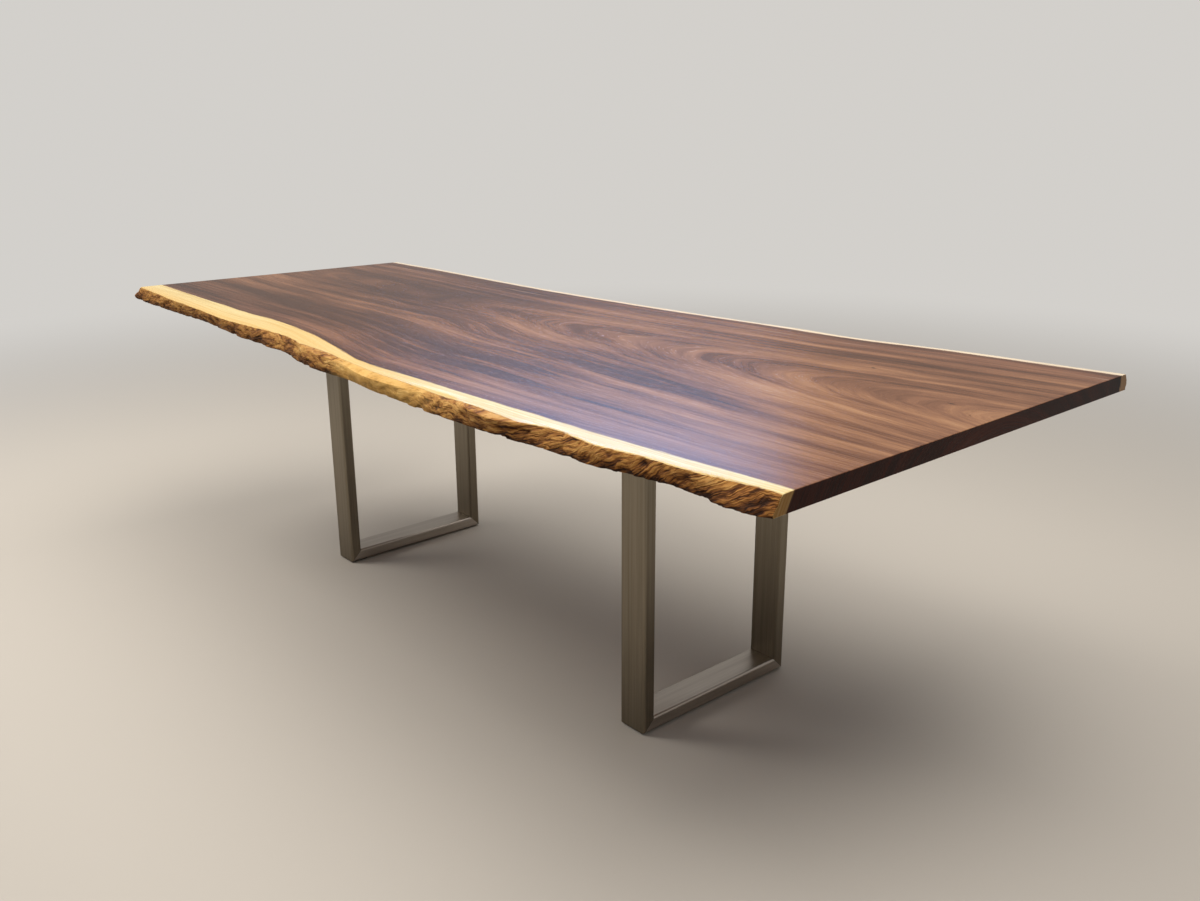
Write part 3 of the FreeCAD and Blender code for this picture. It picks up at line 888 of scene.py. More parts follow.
@dataclass(frozen=True)
class EdgeRelief:
    """Furrows, hollows and chips of one live edge.

    A ripple is a noise along the edge: waves per metre, layer of the noise, size. A lump is a noise on
    its face: waves per metre along and up, size.
    """

    side: Side
    thick: float
    seed: float
    rim_seed: float
    smooth_rise: Pair = (-0.04, 0.10)
    smooth_fall: Pair = (0.30, 0.44)
    smooth_share: float = 0.55
    back_roughness: float = 0.6
    drift_ripple: Wave = (3.2, 0.0, 0.10)
    kink_lump: Wave = (26.0, 40.0, 0.008)
    swell_lump: Wave = (7.0, 20.0, 0.0032)
    furrow_waves: Pair = (15.0, 95.0)
    furrow_form: tuple[float, ...] = (0.9, 2.1, 4.0, 0.95, 2.0)
    furrow_span: Pair = (0.9, 2.2)
    furrow_depth: float = 0.0040
    # Painted shade in the furrows; the hollows' painted shade follows below.
    furrow_painted_shade: float = 0.6
    hollow_waves: Pair = (24.0, 60.0)
    hollow_form: tuple[float, float, int] = (0.8, 2.0, 4)
    hollow_seed: float = 5.0
    hollow_span: Pair = (-0.1, 0.9)
    hollow_depth: float = 0.0050
    hollow_painted_shade: float = 0.7
    proud: float = 0.0012
    fade_level: float = 0.66
    fade_ripple: Wave = (9.0, 4.0, 0.12)
    fade_share: float = 0.9
    # Least painted shade in the hollows, where the edge is smooth.
    least_painted_shade: float = 0.35
    # Painted shade along the lower rim, up to a wavy level.
    rim_level: float = 0.3
    rim_ripple: Wave = (12.0, 8.0, 0.15)
    rim_painted_shade: float = 0.7
    # Place along the edge, height, half the length and half the height.
    nose: Oval = (-1.222, 0.010, 0.018, 0.008)
    nose_height: float = 0.009
    nose_dark: float = 1.2
    worn_waves: float = 6.0
    worn_height: float = 0.0060
    chip_waves: float = 23.0
    chip_layer: float = 2.0
    chip_span: Pair = (0.15, 0.55)
    chip_height: float = 0.0080
    # Place along the edge and half the length.
    notch: Pair = (-0.405, 0.022)
    notch_height: float = 0.012

    def roughness_along(self, x: float) -> float:
        """How rough the front edge is at a place along it: less where bark left it smooth, else 1."""
        return 1.0 - self.smooth_share * clear_window(x, self.smooth_rise, self.smooth_fall)

    def ripple(self, x: float, form: Wave) -> float:
        """Height of a ripple at a place along the edge."""
        waves, layer, size = form
        return size * wave(x * waves, self.seed, layer)

    def lump(self, x: float, height: float, form: Wave) -> float:
        """Height of a lump at a place along the edge and up its face."""
        along, up, size = form
        return size * wave(x * along, height * up, self.seed)

    def depth(self, x: float, height: float) -> tuple[float, float]:
        """Depth of the furrows, and the painted shade in them.

        Args:
            x: Place along the slab.
            height: Height above the underside.

        Returns:
            Depth in metres, and the painted shade of the hollows and of the lower rim, with a darker nose,
            from 0 up.
        """
        front = self.side is Side.FRONT
        share = height / self.thick
        rough = self.roughness_along(x) if front else self.back_roughness
        lay = height + self.ripple(x, self.drift_ripple) + self.lump(x, height, self.kink_lump)
        along, up = self.furrow_waves
        ridge = noise.ridged_multi_fractal(Vector((x * along, lay * up, self.seed)), *self.furrow_form)
        furrow = clear_step(ridge, *self.furrow_span)
        along, up = self.hollow_waves
        dent = noise.fractal(Vector((x * along, lay * up, self.seed + self.hollow_seed)), *self.hollow_form)
        hollow = clear_step(dent, *self.hollow_span)
        fade_from = self.fade_level + self.ripple(x, self.fade_ripple)
        fade = 1.0 - self.fade_share * clear_step(share, fade_from, 1.0)
        cut = self.furrow_depth * furrow + self.hollow_depth * hollow - self.proud
        deep = self.lump(x, height, self.swell_lump) + fade * rough * cut
        # Painted shade in the furrows and hollows, less where the edge is smooth and towards its top.
        shade = min(1.0, self.furrow_painted_shade * furrow + self.hollow_painted_shade * hollow)
        dark = fade * (self.least_painted_shade + (1.0 - self.least_painted_shade) * rough) * shade
        # Painted shade along the lower rim.
        rim_to = self.rim_level + self.ripple(x, self.rim_ripple)
        dark += self.rim_painted_shade * (1.0 - clear_step(share, 0.0, rim_to))
        if front:
            nose_x, nose_level, long, tall = self.nose
            nose = bell((x - nose_x) / long, (height - nose_level) / tall)
            deep -= self.nose_height * nose
            dark += self.nose_dark * nose
        return deep, dark

    def rim_lift(self, x: float) -> float:
        """How far the lower rim is worn up.

        Args:
            x: Place along the slab.

        Returns:
            The lift in metres.
        """
        worn = max(0.0, wave(x * self.worn_waves, self.rim_seed, 0.0))
        chip = clear_step(wave(x * self.chip_waves, self.rim_seed, self.chip_layer), *self.chip_span)
        lift = self.worn_height * worn + self.chip_height * chip
        if self.side is Side.FRONT:
            notch_x, width = self.notch
            lift += self.notch_height * bell((x - notch_x) / width)
        return lift


@dataclass
class LiveEdgeSlab:
    """The slab: two live edges with their relief, two straight cuts and a polished top."""

    node: str = "live_edge_slab"

    # Rows and columns of the mesh, and its arrises.
    columns: int = 620
    middle_rows: int = 11
    flat_rows: int = 39
    rim_shares: tuple[float, ...] = (0.0, 0.003, 0.007, 0.012, 0.018)
    inner_share: float = 0.027
    arris: float = 0.0012
    top_arris: float = 0.0018
    arris_steps: int = 4

    # How the solid and its left end cut are read.
    read_levels: tuple[float, ...] = (0.065, 0.3, 0.5, 0.7, 0.935)
    read_degree: int = 2
    read_margin: float = 0.0015
    read_from: float = 1.2
    end_facing: float = -0.9
    end_upright: float = 0.01

    # Seeds of the relief and of the lower rim, for the front and the back edge.
    seeds: tuple[tuple[float, float], ...] = ((3.0, 21.0), (11.0, 31.0))
    rim_power: float = 1.6
    rim_inwards: float = 0.35

    # The worn upper rim of the front edge.
    shoulder_drop: float = 0.005
    shoulder_least: float = 0.12
    shoulder_rise: Pair = (-0.10, 0.04)
    shoulder_fall: Pair = (0.42, 0.56)
    shoulder_power: int = 4
    shoulder_reach: float = 0.026

    # Where the heartwood and the polished top end, in places along the slab and across it.
    heart_front: Line = (
        (-1.23, -0.480), (-0.62, -0.480), (-0.48, -0.466), (-0.24, -0.482), (0.06, -0.538),
        (0.40, -0.523), (0.80, -0.507), (1.04, -0.491), (1.23, -0.474))
    heart_overrun: float = 0.05
    heart_points: int = 400
    heart_blur: int = 15
    bark_front: Line = (
        (-0.30, -0.560), (-0.18, -0.548), (-0.05, -0.550), (0.05, -0.556), (0.15, -0.566),
        (0.32, -0.562), (0.45, -0.558), (0.66, -0.565), (0.72, -0.550), (0.80, -0.556), (1.23, -0.520))

    # How far the raw face reaches.
    raw_blend: float = 0.004
    raw_reach: float = 0.016
    raw_wrap: float = 0.010
    raw_over: float = 0.001
    raw_smooth: float = 0.004
    raw_on_ends: float = -4.0

    # The sapwood and the growth rings.
    back_band: float = 0.015
    band_lean: float = 0.55
    pith_depth: float = 0.30
    taper_right: float = 0.060
    taper_left: float = 0.012
    taper_bend: float = 0.15
    heart_line: Pair = (0.055, 0.035)
    least_square: float = 0.01
    # Size, waves per metre along and across, and layer of the noise.
    ring_bends: tuple[tuple[float, float, float, float], ...] = (
        (0.0060, 1.5, 3.0, 5.0), (0.0036, 4.6, 8.5, 9.0), (0.0010, 13.0, 26.0, 2.0))
    eye: Oval = (-0.18, -0.11, 0.16, 0.06)
    eye_lift: float = 0.013

    def measure(self) -> None:
        """Read the solid's box, its left end cut and its surface."""
        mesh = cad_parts[self.node].data
        self.low, self.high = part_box(self.node)
        self.thick = self.high.z - self.low.z
        self.surface = BVHTree.FromPolygons(
            [vertex.co[:] for vertex in mesh.vertices], [face.vertices[:] for face in mesh.polygons])
        ends = [face for face in mesh.polygons
                if face.normal.x < self.end_facing and abs(face.normal.z) < self.end_upright]
        cut = max(ends, key=lambda face: face.area)
        self.lean = -cut.normal.y / cut.normal.x
        self.start = cut.center.x - self.lean * cut.center.y
        self.edges = {side: EdgeRelief(side, self.thick, *seeds) for side, seeds in zip(Side, self.seeds)}

    def along(self, share: np.ndarray, y: np.ndarray) -> np.ndarray:
        """X at a share of the way from the left cut to the right one, at places across the slab."""
        left = self.start + self.lean * y
        return left + (self.high.x - left) * share

    def edge_y(self, share: float, height: float, side: Side) -> float:
        """Y where the solid's live edge lies.

        Args:
            share: Share of the way along the slab.
            height: Z of the level.
            side: Which live edge.

        Returns:
            Y of the edge.
        """
        share = min(max(share, self.read_margin), 1.0 - self.read_margin)
        far = side.value * self.read_from
        origin = Vector((float(self.along(share, far)), far, height))
        way = Vector((self.lean * (1.0 - share), 1.0, 0.0)) * -side.value
        return self.surface.ray_cast(origin, way.normalized())[0].y

    def rows(self) -> tuple[np.ndarray, np.ndarray]:
        """Levels of the rows of a live edge and how far its arrises draw them in.

        Returns:
            Heights above the underside, and distances inwards.
        """
        turn = np.linspace(0.0, math.pi / 2, self.arris_steps)
        rise, draw = 1.0 - np.cos(turn), 1.0 - np.sin(turn)
        low, high = self.arris * rise, self.thick - self.top_arris * rise[::-1]
        middle = np.linspace(low[-1], high[0], self.middle_rows + 2)[1:-1]
        drawn_in = np.concatenate(
            (self.arris * draw, np.zeros(self.middle_rows), self.top_arris * draw[::-1]))
        return np.concatenate((low, middle, high)), drawn_in

    def shoulder(self, x: np.ndarray) -> np.ndarray:
        """How far the front edge's upper rim is worn down, in metres, at places along the slab."""
        worn = np.array([clear_window(place, self.shoulder_rise, self.shoulder_fall)
                         for place in x.tolist()])
        return self.shoulder_drop * (self.shoulder_least + (1.0 - self.shoulder_least) * worn)

    def lay_columns(self) -> None:
        """Lay out the cross-sections along the slab and the places across its flat faces."""
        turn = np.linspace(math.pi / 2, 0.0, self.arris_steps + 1)
        reach = self.arris * (1.0 - np.sin(turn)) / (self.high.x - self.low.x)
        inset = self.arris * (1.0 - np.cos(turn))
        inner = np.linspace(reach[-1], 1.0 - reach[-1], self.columns)
        self.shares = np.concatenate((reach[:-1], inner, 1.0 - reach[-2::-1]))
        self.insets = np.concatenate((inset[:-1], np.zeros(self.columns), inset[-2::-1]))
        edge = np.array(self.rim_shares)
        middle = np.linspace(self.inner_share, 1.0 - self.inner_share, self.flat_rows)
        self.across = np.concatenate((edge, middle, 1.0 - edge[::-1]))
        self.heights, self.drawn_in = self.rows()
        self.up, self.wide = len(self.heights) - 1, len(self.across) - 1

    def lay_edge(self, side: Side) -> tuple[np.ndarray, np.ndarray, np.ndarray]:
        """Lay out a live edge: the solid's line, with its relief.

        Args:
            side: Which live edge.

        Returns:
            Y, Z and the painted shade of the hollows (section, row).
        """
        levels = self.thick * np.array(self.read_levels)
        read = np.array([[self.edge_y(share, self.low.z + level, side) for share in self.shares]
                         for level in levels])
        curve = np.polyfit(levels, read, self.read_degree)
        y = (np.vander(self.heights, len(curve)) @ curve).T - side.value * self.drawn_in
        self.top_lines[side] = y[:, -1].copy()
        z = np.tile(self.low.z + self.heights, (len(self.shares), 1))
        # Painted shade of the hollows, by section and row.
        dark = np.zeros_like(y)
        for column, share in enumerate(self.shares):
            x = float(self.along(share, y[column, 0]))
            lift = self.edges[side].rim_lift(x)
            for row, height in enumerate(self.heights):
                depth, dark[column, row] = self.edges[side].depth(x, float(height))
                rim = lift * (1.0 - height / self.thick) ** self.rim_power
                y[column, row] -= side.value * (depth + self.rim_inwards * rim)
                z[column, row] += rim
        if side is Side.FRONT:
            drop = self.shoulder(self.along(self.shares, y[:, -1]))
            z -= drop[:, None] * (self.heights / self.thick) ** self.shoulder_power
        return y, z, dark

    def ring_points(self) -> tuple[np.ndarray, np.ndarray, np.ndarray]:
        """Points round every cross-section.

        Returns:
            Points (section, place in the ring, xyz), and for each of them the painted shade of the hollows
            and how deep it lies in the raw face, in widths of the blend.
        """
        self.top_lines: dict[Side, np.ndarray] = {}
        front_y, front_z, front_painted_shade = self.lay_edge(Side.FRONT)
        back_y, back_z, back_painted_shade = self.lay_edge(Side.BACK)
        middle = self.across[1:-1]
        rim_y, back_rim_y = front_y[:, -1:], back_y[:, -1:]
        top_y = rim_y + (back_rim_y - rim_y) * middle
        low_y = front_y[:, :1] + (back_y[:, :1] - front_y[:, :1]) * middle
        rim_x = self.along(self.shares, front_y[:, -1])
        inside = np.clip(1.0 - (top_y - rim_y) / self.shoulder_reach, 0.0, 1.0)
        top_z = self.high.z - self.shoulder(rim_x)[:, None] * inside ** 2
        y = np.hstack((front_y, top_y, back_y[:, ::-1], low_y[:, ::-1]))
        z = np.hstack((front_z, top_z, back_z[:, ::-1], np.full_like(low_y, self.low.z)))
        plain = np.zeros_like(top_y)
        # Painted shade of the live edges' hollows and lower rims; none on the top and the underside.
        dark = np.hstack((front_painted_shade, plain, back_painted_shade[:, ::-1], plain))
        smooth = np.array([[1.0 - self.edges[Side.FRONT].roughness_along(place)] for place in rim_x])
        bark_y = np.maximum(np.interp(rim_x, *zip(*self.bark_front)), front_y[:, -1])[:, None]
        below = np.tile(self.thick - self.heights + self.raw_over, (len(self.shares), 1))
        front_raw = below - self.raw_smooth * smooth + bark_y - rim_y
        top_raw = np.maximum(bark_y - top_y, top_y - back_rim_y) + self.raw_over
        low_raw = self.raw_wrap - np.minimum(low_y - front_y[:, :1], back_y[:, :1] - low_y)
        raw = np.hstack((front_raw, top_raw, below[:, ::-1], low_raw[:, ::-1]))
        raw = np.clip(raw, -self.raw_reach, self.raw_reach) / self.raw_blend
        half_wide = np.ptp(y, axis=1)[:, None] / 2
        middle_y = (np.max(y, axis=1) + np.min(y, axis=1))[:, None] / 2
        middle_z = (self.high.z + self.low.z) / 2
        pull = self.insets[:, None]
        y = middle_y + (y - middle_y) * (1.0 - pull / half_wide)
        z = middle_z + (z - middle_z) * (1.0 - pull / (self.thick / 2))
        return np.stack((self.along(self.shares[:, None], y), y, z), axis=-1), dark, raw

    def cap(self, ring: np.ndarray) -> np.ndarray:
        """Points inside an end cut, spanned between the four sides of its ring.

        Args:
            ring: Points of the end section.

        Returns:
            Points (across, up, xyz) inside the cut.
        """
        up, wide = self.up, self.wide
        front = ring[:up + 1]
        top = ring[up:up + wide + 1]
        back = ring[up + wide:2 * up + wide + 1][::-1]
        under = np.vstack((ring[2 * up + wide:], ring[:1]))[::-1]
        a = self.across[:, None, None]
        b = np.linspace(0.0, 1.0, up + 1)[None, :, None]
        sides = (1 - a) * front[None] + a * back[None] + (1 - b) * under[:, None] + b * top[:, None]
        corners = ((1 - a) * (1 - b) * front[0] + (1 - a) * b * front[-1]
                   + a * (1 - b) * back[0] + a * b * back[-1])
        return (sides - corners)[1:-1, 1:-1]

    def cap_quads(self, first: int, own: int) -> np.ndarray:
        """Faces of an end cut.

        Args:
            first: Number of the first point of the end section's ring.
            own: Number of the first point inside the cut.

        Returns:
            Point numbers (face, corner), for faces that look to the left.
        """
        up, wide = self.up, self.wide
        spots = np.empty((wide + 1, up + 1), dtype=int)
        spots[1:-1, 1:-1] = own + np.arange((wide - 1) * (up - 1)).reshape(wide - 1, up - 1)
        spots[:, up] = first + up + np.arange(wide + 1)
        spots[1:, 0] = first + 2 * up + wide + np.arange(wide)[::-1]
        spots[0] = first + np.arange(up + 1)
        spots[wide] = first + up + wide + np.arange(up + 1)[::-1]
        corners = (spots[:-1, :-1], spots[:-1, 1:], spots[1:, 1:], spots[1:, :-1])
        return np.stack(corners, axis=-1).reshape(-1, 4)

    def heart_edges(self, x: np.ndarray) -> list[np.ndarray]:
        """Y where the heartwood ends on the top.

        Args:
            x: Places along the slab.

        Returns:
            The front line and the back line.
        """
        half = self.heart_blur
        kernel = np.hanning(2 * half + 3)[1:-1]
        kernel /= kernel.sum()
        places = np.linspace(
            self.low.x - self.heart_overrun, self.high.x + self.heart_overrun, self.heart_points)
        y = self.top_lines[Side.BACK]
        lines = (np.interp(places, *zip(*self.heart_front)),
                 np.interp(places, self.along(self.shares, y), y) - self.back_band)
        return [np.interp(x, places, np.convolve(np.pad(line, half, mode="edge"), kernel, mode="valid"))
                for line in lines]

    def growth(self, points: np.ndarray) -> tuple[np.ndarray, np.ndarray]:
        """Growth rings through the slab: cones round a pith below it, bent to its edges.

        Args:
            points: Points (number, xyz).

        Returns:
            Distance from the pith's cone, and reach into the sapwood, in metres.
        """
        x, y, z = points.T
        front, back = self.heart_edges(x)
        cone = ((self.taper_right + self.taper_left) * x
                + (self.taper_right - self.taper_left) * np.hypot(x, self.taper_bend)) / 2
        start, slope = self.heart_line
        off_middle = y - (start + slope * x)
        down = self.high.z - z
        reach = np.maximum(front - self.band_lean * down - y, y - back)
        spread = np.zeros_like(x)
        ends = self.heart_edges(np.array((self.high.x,)))
        for line, end_line, side in ((front, ends[0], Side.FRONT), (back, ends[1], Side.BACK)):
            end_wide = float(end_line[0]) - (start + slope * self.high.x)
            offset = math.hypot(end_wide, self.pith_depth) - cone.max()
            square = (offset + cone) ** 2 - self.pith_depth ** 2
            width = np.sqrt(np.maximum(square, self.least_square))
            share = off_middle / (line - (start + slope * x))
            spread = np.where(off_middle * side.value > 0.0, share * width, spread)
        ring = np.sqrt(spread ** 2 + (self.pith_depth - down) ** 2) - cone
        ring += [sum(size * wave(along * px, across * py, seed)
                     for size, along, across, seed in self.ring_bends)
                 for px, py in zip(x.tolist(), y.tolist())]
        eye_x, eye_y, long, wide = self.eye
        eye = self.eye_lift * np.exp(-((x - eye_x) / long) ** 2 - ((y - eye_y) / wide) ** 2)
        return ring + eye, reach

    def build(self) -> None:
        """Make the slab."""
        self.measure()
        self.lay_columns()
        ring, dark, raw = self.ring_points()
        count, around = ring.shape[:2]
        caps = [self.cap(ring[end]).reshape(-1, 3) for end in (0, -1)]
        points = np.vstack([ring.reshape(-1, 3), *caps])
        last, inside = (count - 1) * around, len(caps[0])
        faces = np.vstack((
            ring_quads(count, around), self.cap_quads(0, count * around),
            self.cap_quads(last, count * around + inside)[:, ::-1]))
        mesh = bpy.data.meshes.new("live_edge_slab_wood")
        mesh.from_pydata(points.tolist(), [], faces.tolist())
        mesh.shade_smooth()
        rings, reach = self.growth(points)
        on_end = np.clip(self.insets / self.arris, 0.0, 1.0)
        ends = np.concatenate((np.repeat(on_end, around), np.ones(2 * inside)))
        blank = np.zeros(2 * inside)
        raw = np.concatenate((raw.ravel(), blank)) * (1.0 - ends) + self.raw_on_ends * ends
        # The live edges' painted shade goes to the mesh with the grain's numbers.
        values = {"ring": rings, "sap": reach, "end": ends,
                  "pit": np.concatenate((dark.ravel(), blank)), "raw": raw}
        for name, numbers in values.items():
            mesh.attributes.new(name, "FLOAT", "POINT").data.foreach_set("value", numbers)
        mesh.materials.append(SlabWood().material())
        settle(show(mesh, SLAB_PIECE), Slot.WOOD, self.node)


def circles(profile: Sequence[Pair], sides: int) -> list[list[Place]]:
    """Rings of points round Z, by the radius and height of each ring."""
    turns = [math.tau * step / sides for step in range(sides)]
    return [[(radius * math.cos(turn), radius * math.sin(turn), height) for turn in turns]
            for radius, height in profile]


def loft(name: str, closed: bool, *tubes: Sequence[Sequence[Place]]) -> bpy.types.Object:
    """Tubes of faces through rings of points.

    Args:
        name: Name of the object.
        closed: Whether a tube's last ring meets its first one, or both have a lid.
        *tubes: The rings of each tube.

    Returns:
        The object, at the origin.
    """
    sheet = bmesh.new()
    for tube in tubes:
        rings = [[sheet.verts.new(point) for point in ring] for ring in tube]
        for low, high in zip(rings, rings[1:] + rings[:1] if closed else rings[1:]):
            for place in range(len(low)):
                sheet.faces.new((low[place - 1], low[place], high[place], high[place - 1]))
        if not closed:
            sheet.faces.new(rings[0])
            sheet.faces.new(rings[-1])
    bmesh.ops.recalc_face_normals(sheet, faces=sheet.faces)
    return show_sheet(sheet, name)


class PlacingTree(NodeSheet):
    """Geometry nodes that copy one small shape to many places."""

    def __init__(self, name: str) -> None:
        """Start a tree that hands out a geometry.

        Args:
            name: Name of the tree.
        """
        super().__init__(bpy.data.node_groups.new(name, "GeometryNodeTree"))
        self.sockets: dict[str, str] = {}
        self.tree.interface.new_socket(name="Shape", in_out="OUTPUT", socket_type="NodeSocketGeometry")
        self.inlet = self.node("NodeGroupInput")
        self.outlet = self.node("NodeGroupOutput")

    def input(self, name: str, kind: str) -> Socket:
        """Add an input.

        Args:
            name: Name of the input.
            kind: Kind of value, such as Float, Object or Material.

        Returns:
            Its output in the tree.
        """
        made = self.tree.interface.new_socket(name=name, in_out="INPUT", socket_type=f"NodeSocket{kind}")
        self.sockets[name] = made.identifier
        return next(socket for socket in self.inlet.outputs if socket.identifier == made.identifier)

    def linked(self, kind: str, links: dict[str | int, object], output: str | int = 0,
               **settings: object) -> Socket:
        """Add a node.

        Args:
            kind: Blender's name for the node type.
            links: Outputs or plain values, by the input's name or number.
            output: Name or number of the output.
            **settings: Properties of the node to set.

        Returns:
            The output.
        """
        node = self.node(kind, **settings)
        for key, value in links.items():
            self.feed(node.inputs[key], value)
        return node.outputs[output]

    def shape(self, name: str) -> Socket:
        """Add an input for an object and read its geometry."""
        return self.linked("GeometryNodeObjectInfo", {"Object": self.input(name, "Object")}, "Geometry")

    def close(self, points: Socket, **turn_and_size: Socket) -> None:
        """End the tree: copies of a prototype as real geometry with its finish.

        Args:
            points: Places of the copies.
            **turn_and_size: Their rotation and scale, where these are not plain.
        """
        copies = self.linked("GeometryNodeInstanceOnPoints", {
            "Points": points, "Instance": self.shape("Prototype"), **turn_and_size})
        real = self.linked("GeometryNodeRealizeInstances", {"Geometry": copies})
        dressed = self.linked("GeometryNodeSetMaterial", {
            "Geometry": real, "Material": self.input("Finish", "Material")})
        self.feed(self.outlet.inputs[0], dressed)

    def run(self, name: str, **values: object) -> bpy.types.Object:
        """Run the tree and keep the result as a plain mesh.

        Args:
            name: Name of the piece.
            **values: Values of the inputs, by name. Objects among them are used up.

        Returns:
            The piece.
        """
        piece = show(bpy.data.meshes.new(name), name)
        modifier = piece.modifiers.new("places", "NODES")
        modifier.node_group = self.tree
        for key, value in values.items():
            modifier[self.sockets[key]] = value
        piece.update_tag()
        graph = bpy.context.evaluated_depsgraph_get()
        mesh = bpy.data.meshes.new_from_object(piece.evaluated_get(graph), depsgraph=graph)
        piece.modifiers.clear()
        piece.data = mesh
        for spare in values.values():
            if isinstance(spare, bpy.types.Object):
                bpy.data.objects.remove(spare)
        return piece


def grid_tree() -> PlacingTree:
    """A tree that sets a shape on the corners of a rectangle.

    Returns:
        The tree, with inputs Gap, Pitch, Place, Prototype and Finish.
    """
    made = PlacingTree("fixings_on_rectangle")
    grid = made.linked("GeometryNodeMeshGrid", {
        "Size X": made.input("Gap", "Float"), "Size Y": made.input("Pitch", "Float"),
        "Vertices X": 2, "Vertices Y": 2})
    made.close(made.linked("GeometryNodeTransform", {
        "Geometry": grid, "Translation": made.input("Place", "Vector")}))
    return made


def bead_tree() -> PlacingTree:
    """A tree that lays overlapping ripples along edges, as a weld bead.

    Returns:
        The tree, with inputs Outline, Step, Prototype and Finish.
    """
    made = PlacingTree("ripples_along_joint")
    curve = made.linked("GeometryNodeMeshToCurve", {"Mesh": made.shape("Outline")})
    even = made.linked("GeometryNodeResampleCurve", {
        "Curve": curve, "Length": made.input("Step", "Float")}, mode="LENGTH")
    way = made.linked("GeometryNodeInputTangent", {})
    turn = made.linked("FunctionNodeAlignRotationToVector", {"Vector": way}, axis="X")
    least, most = RIPPLE_SWELL
    swell = made.linked("FunctionNodeRandomValue", {
        RANDOM_LEAST: least, RANDOM_MOST: most, "Seed": RIPPLE_SEED}, RANDOM_RESULT, data_type="FLOAT")
    made.close(even, Rotation=turn, Scale=swell)
    return made


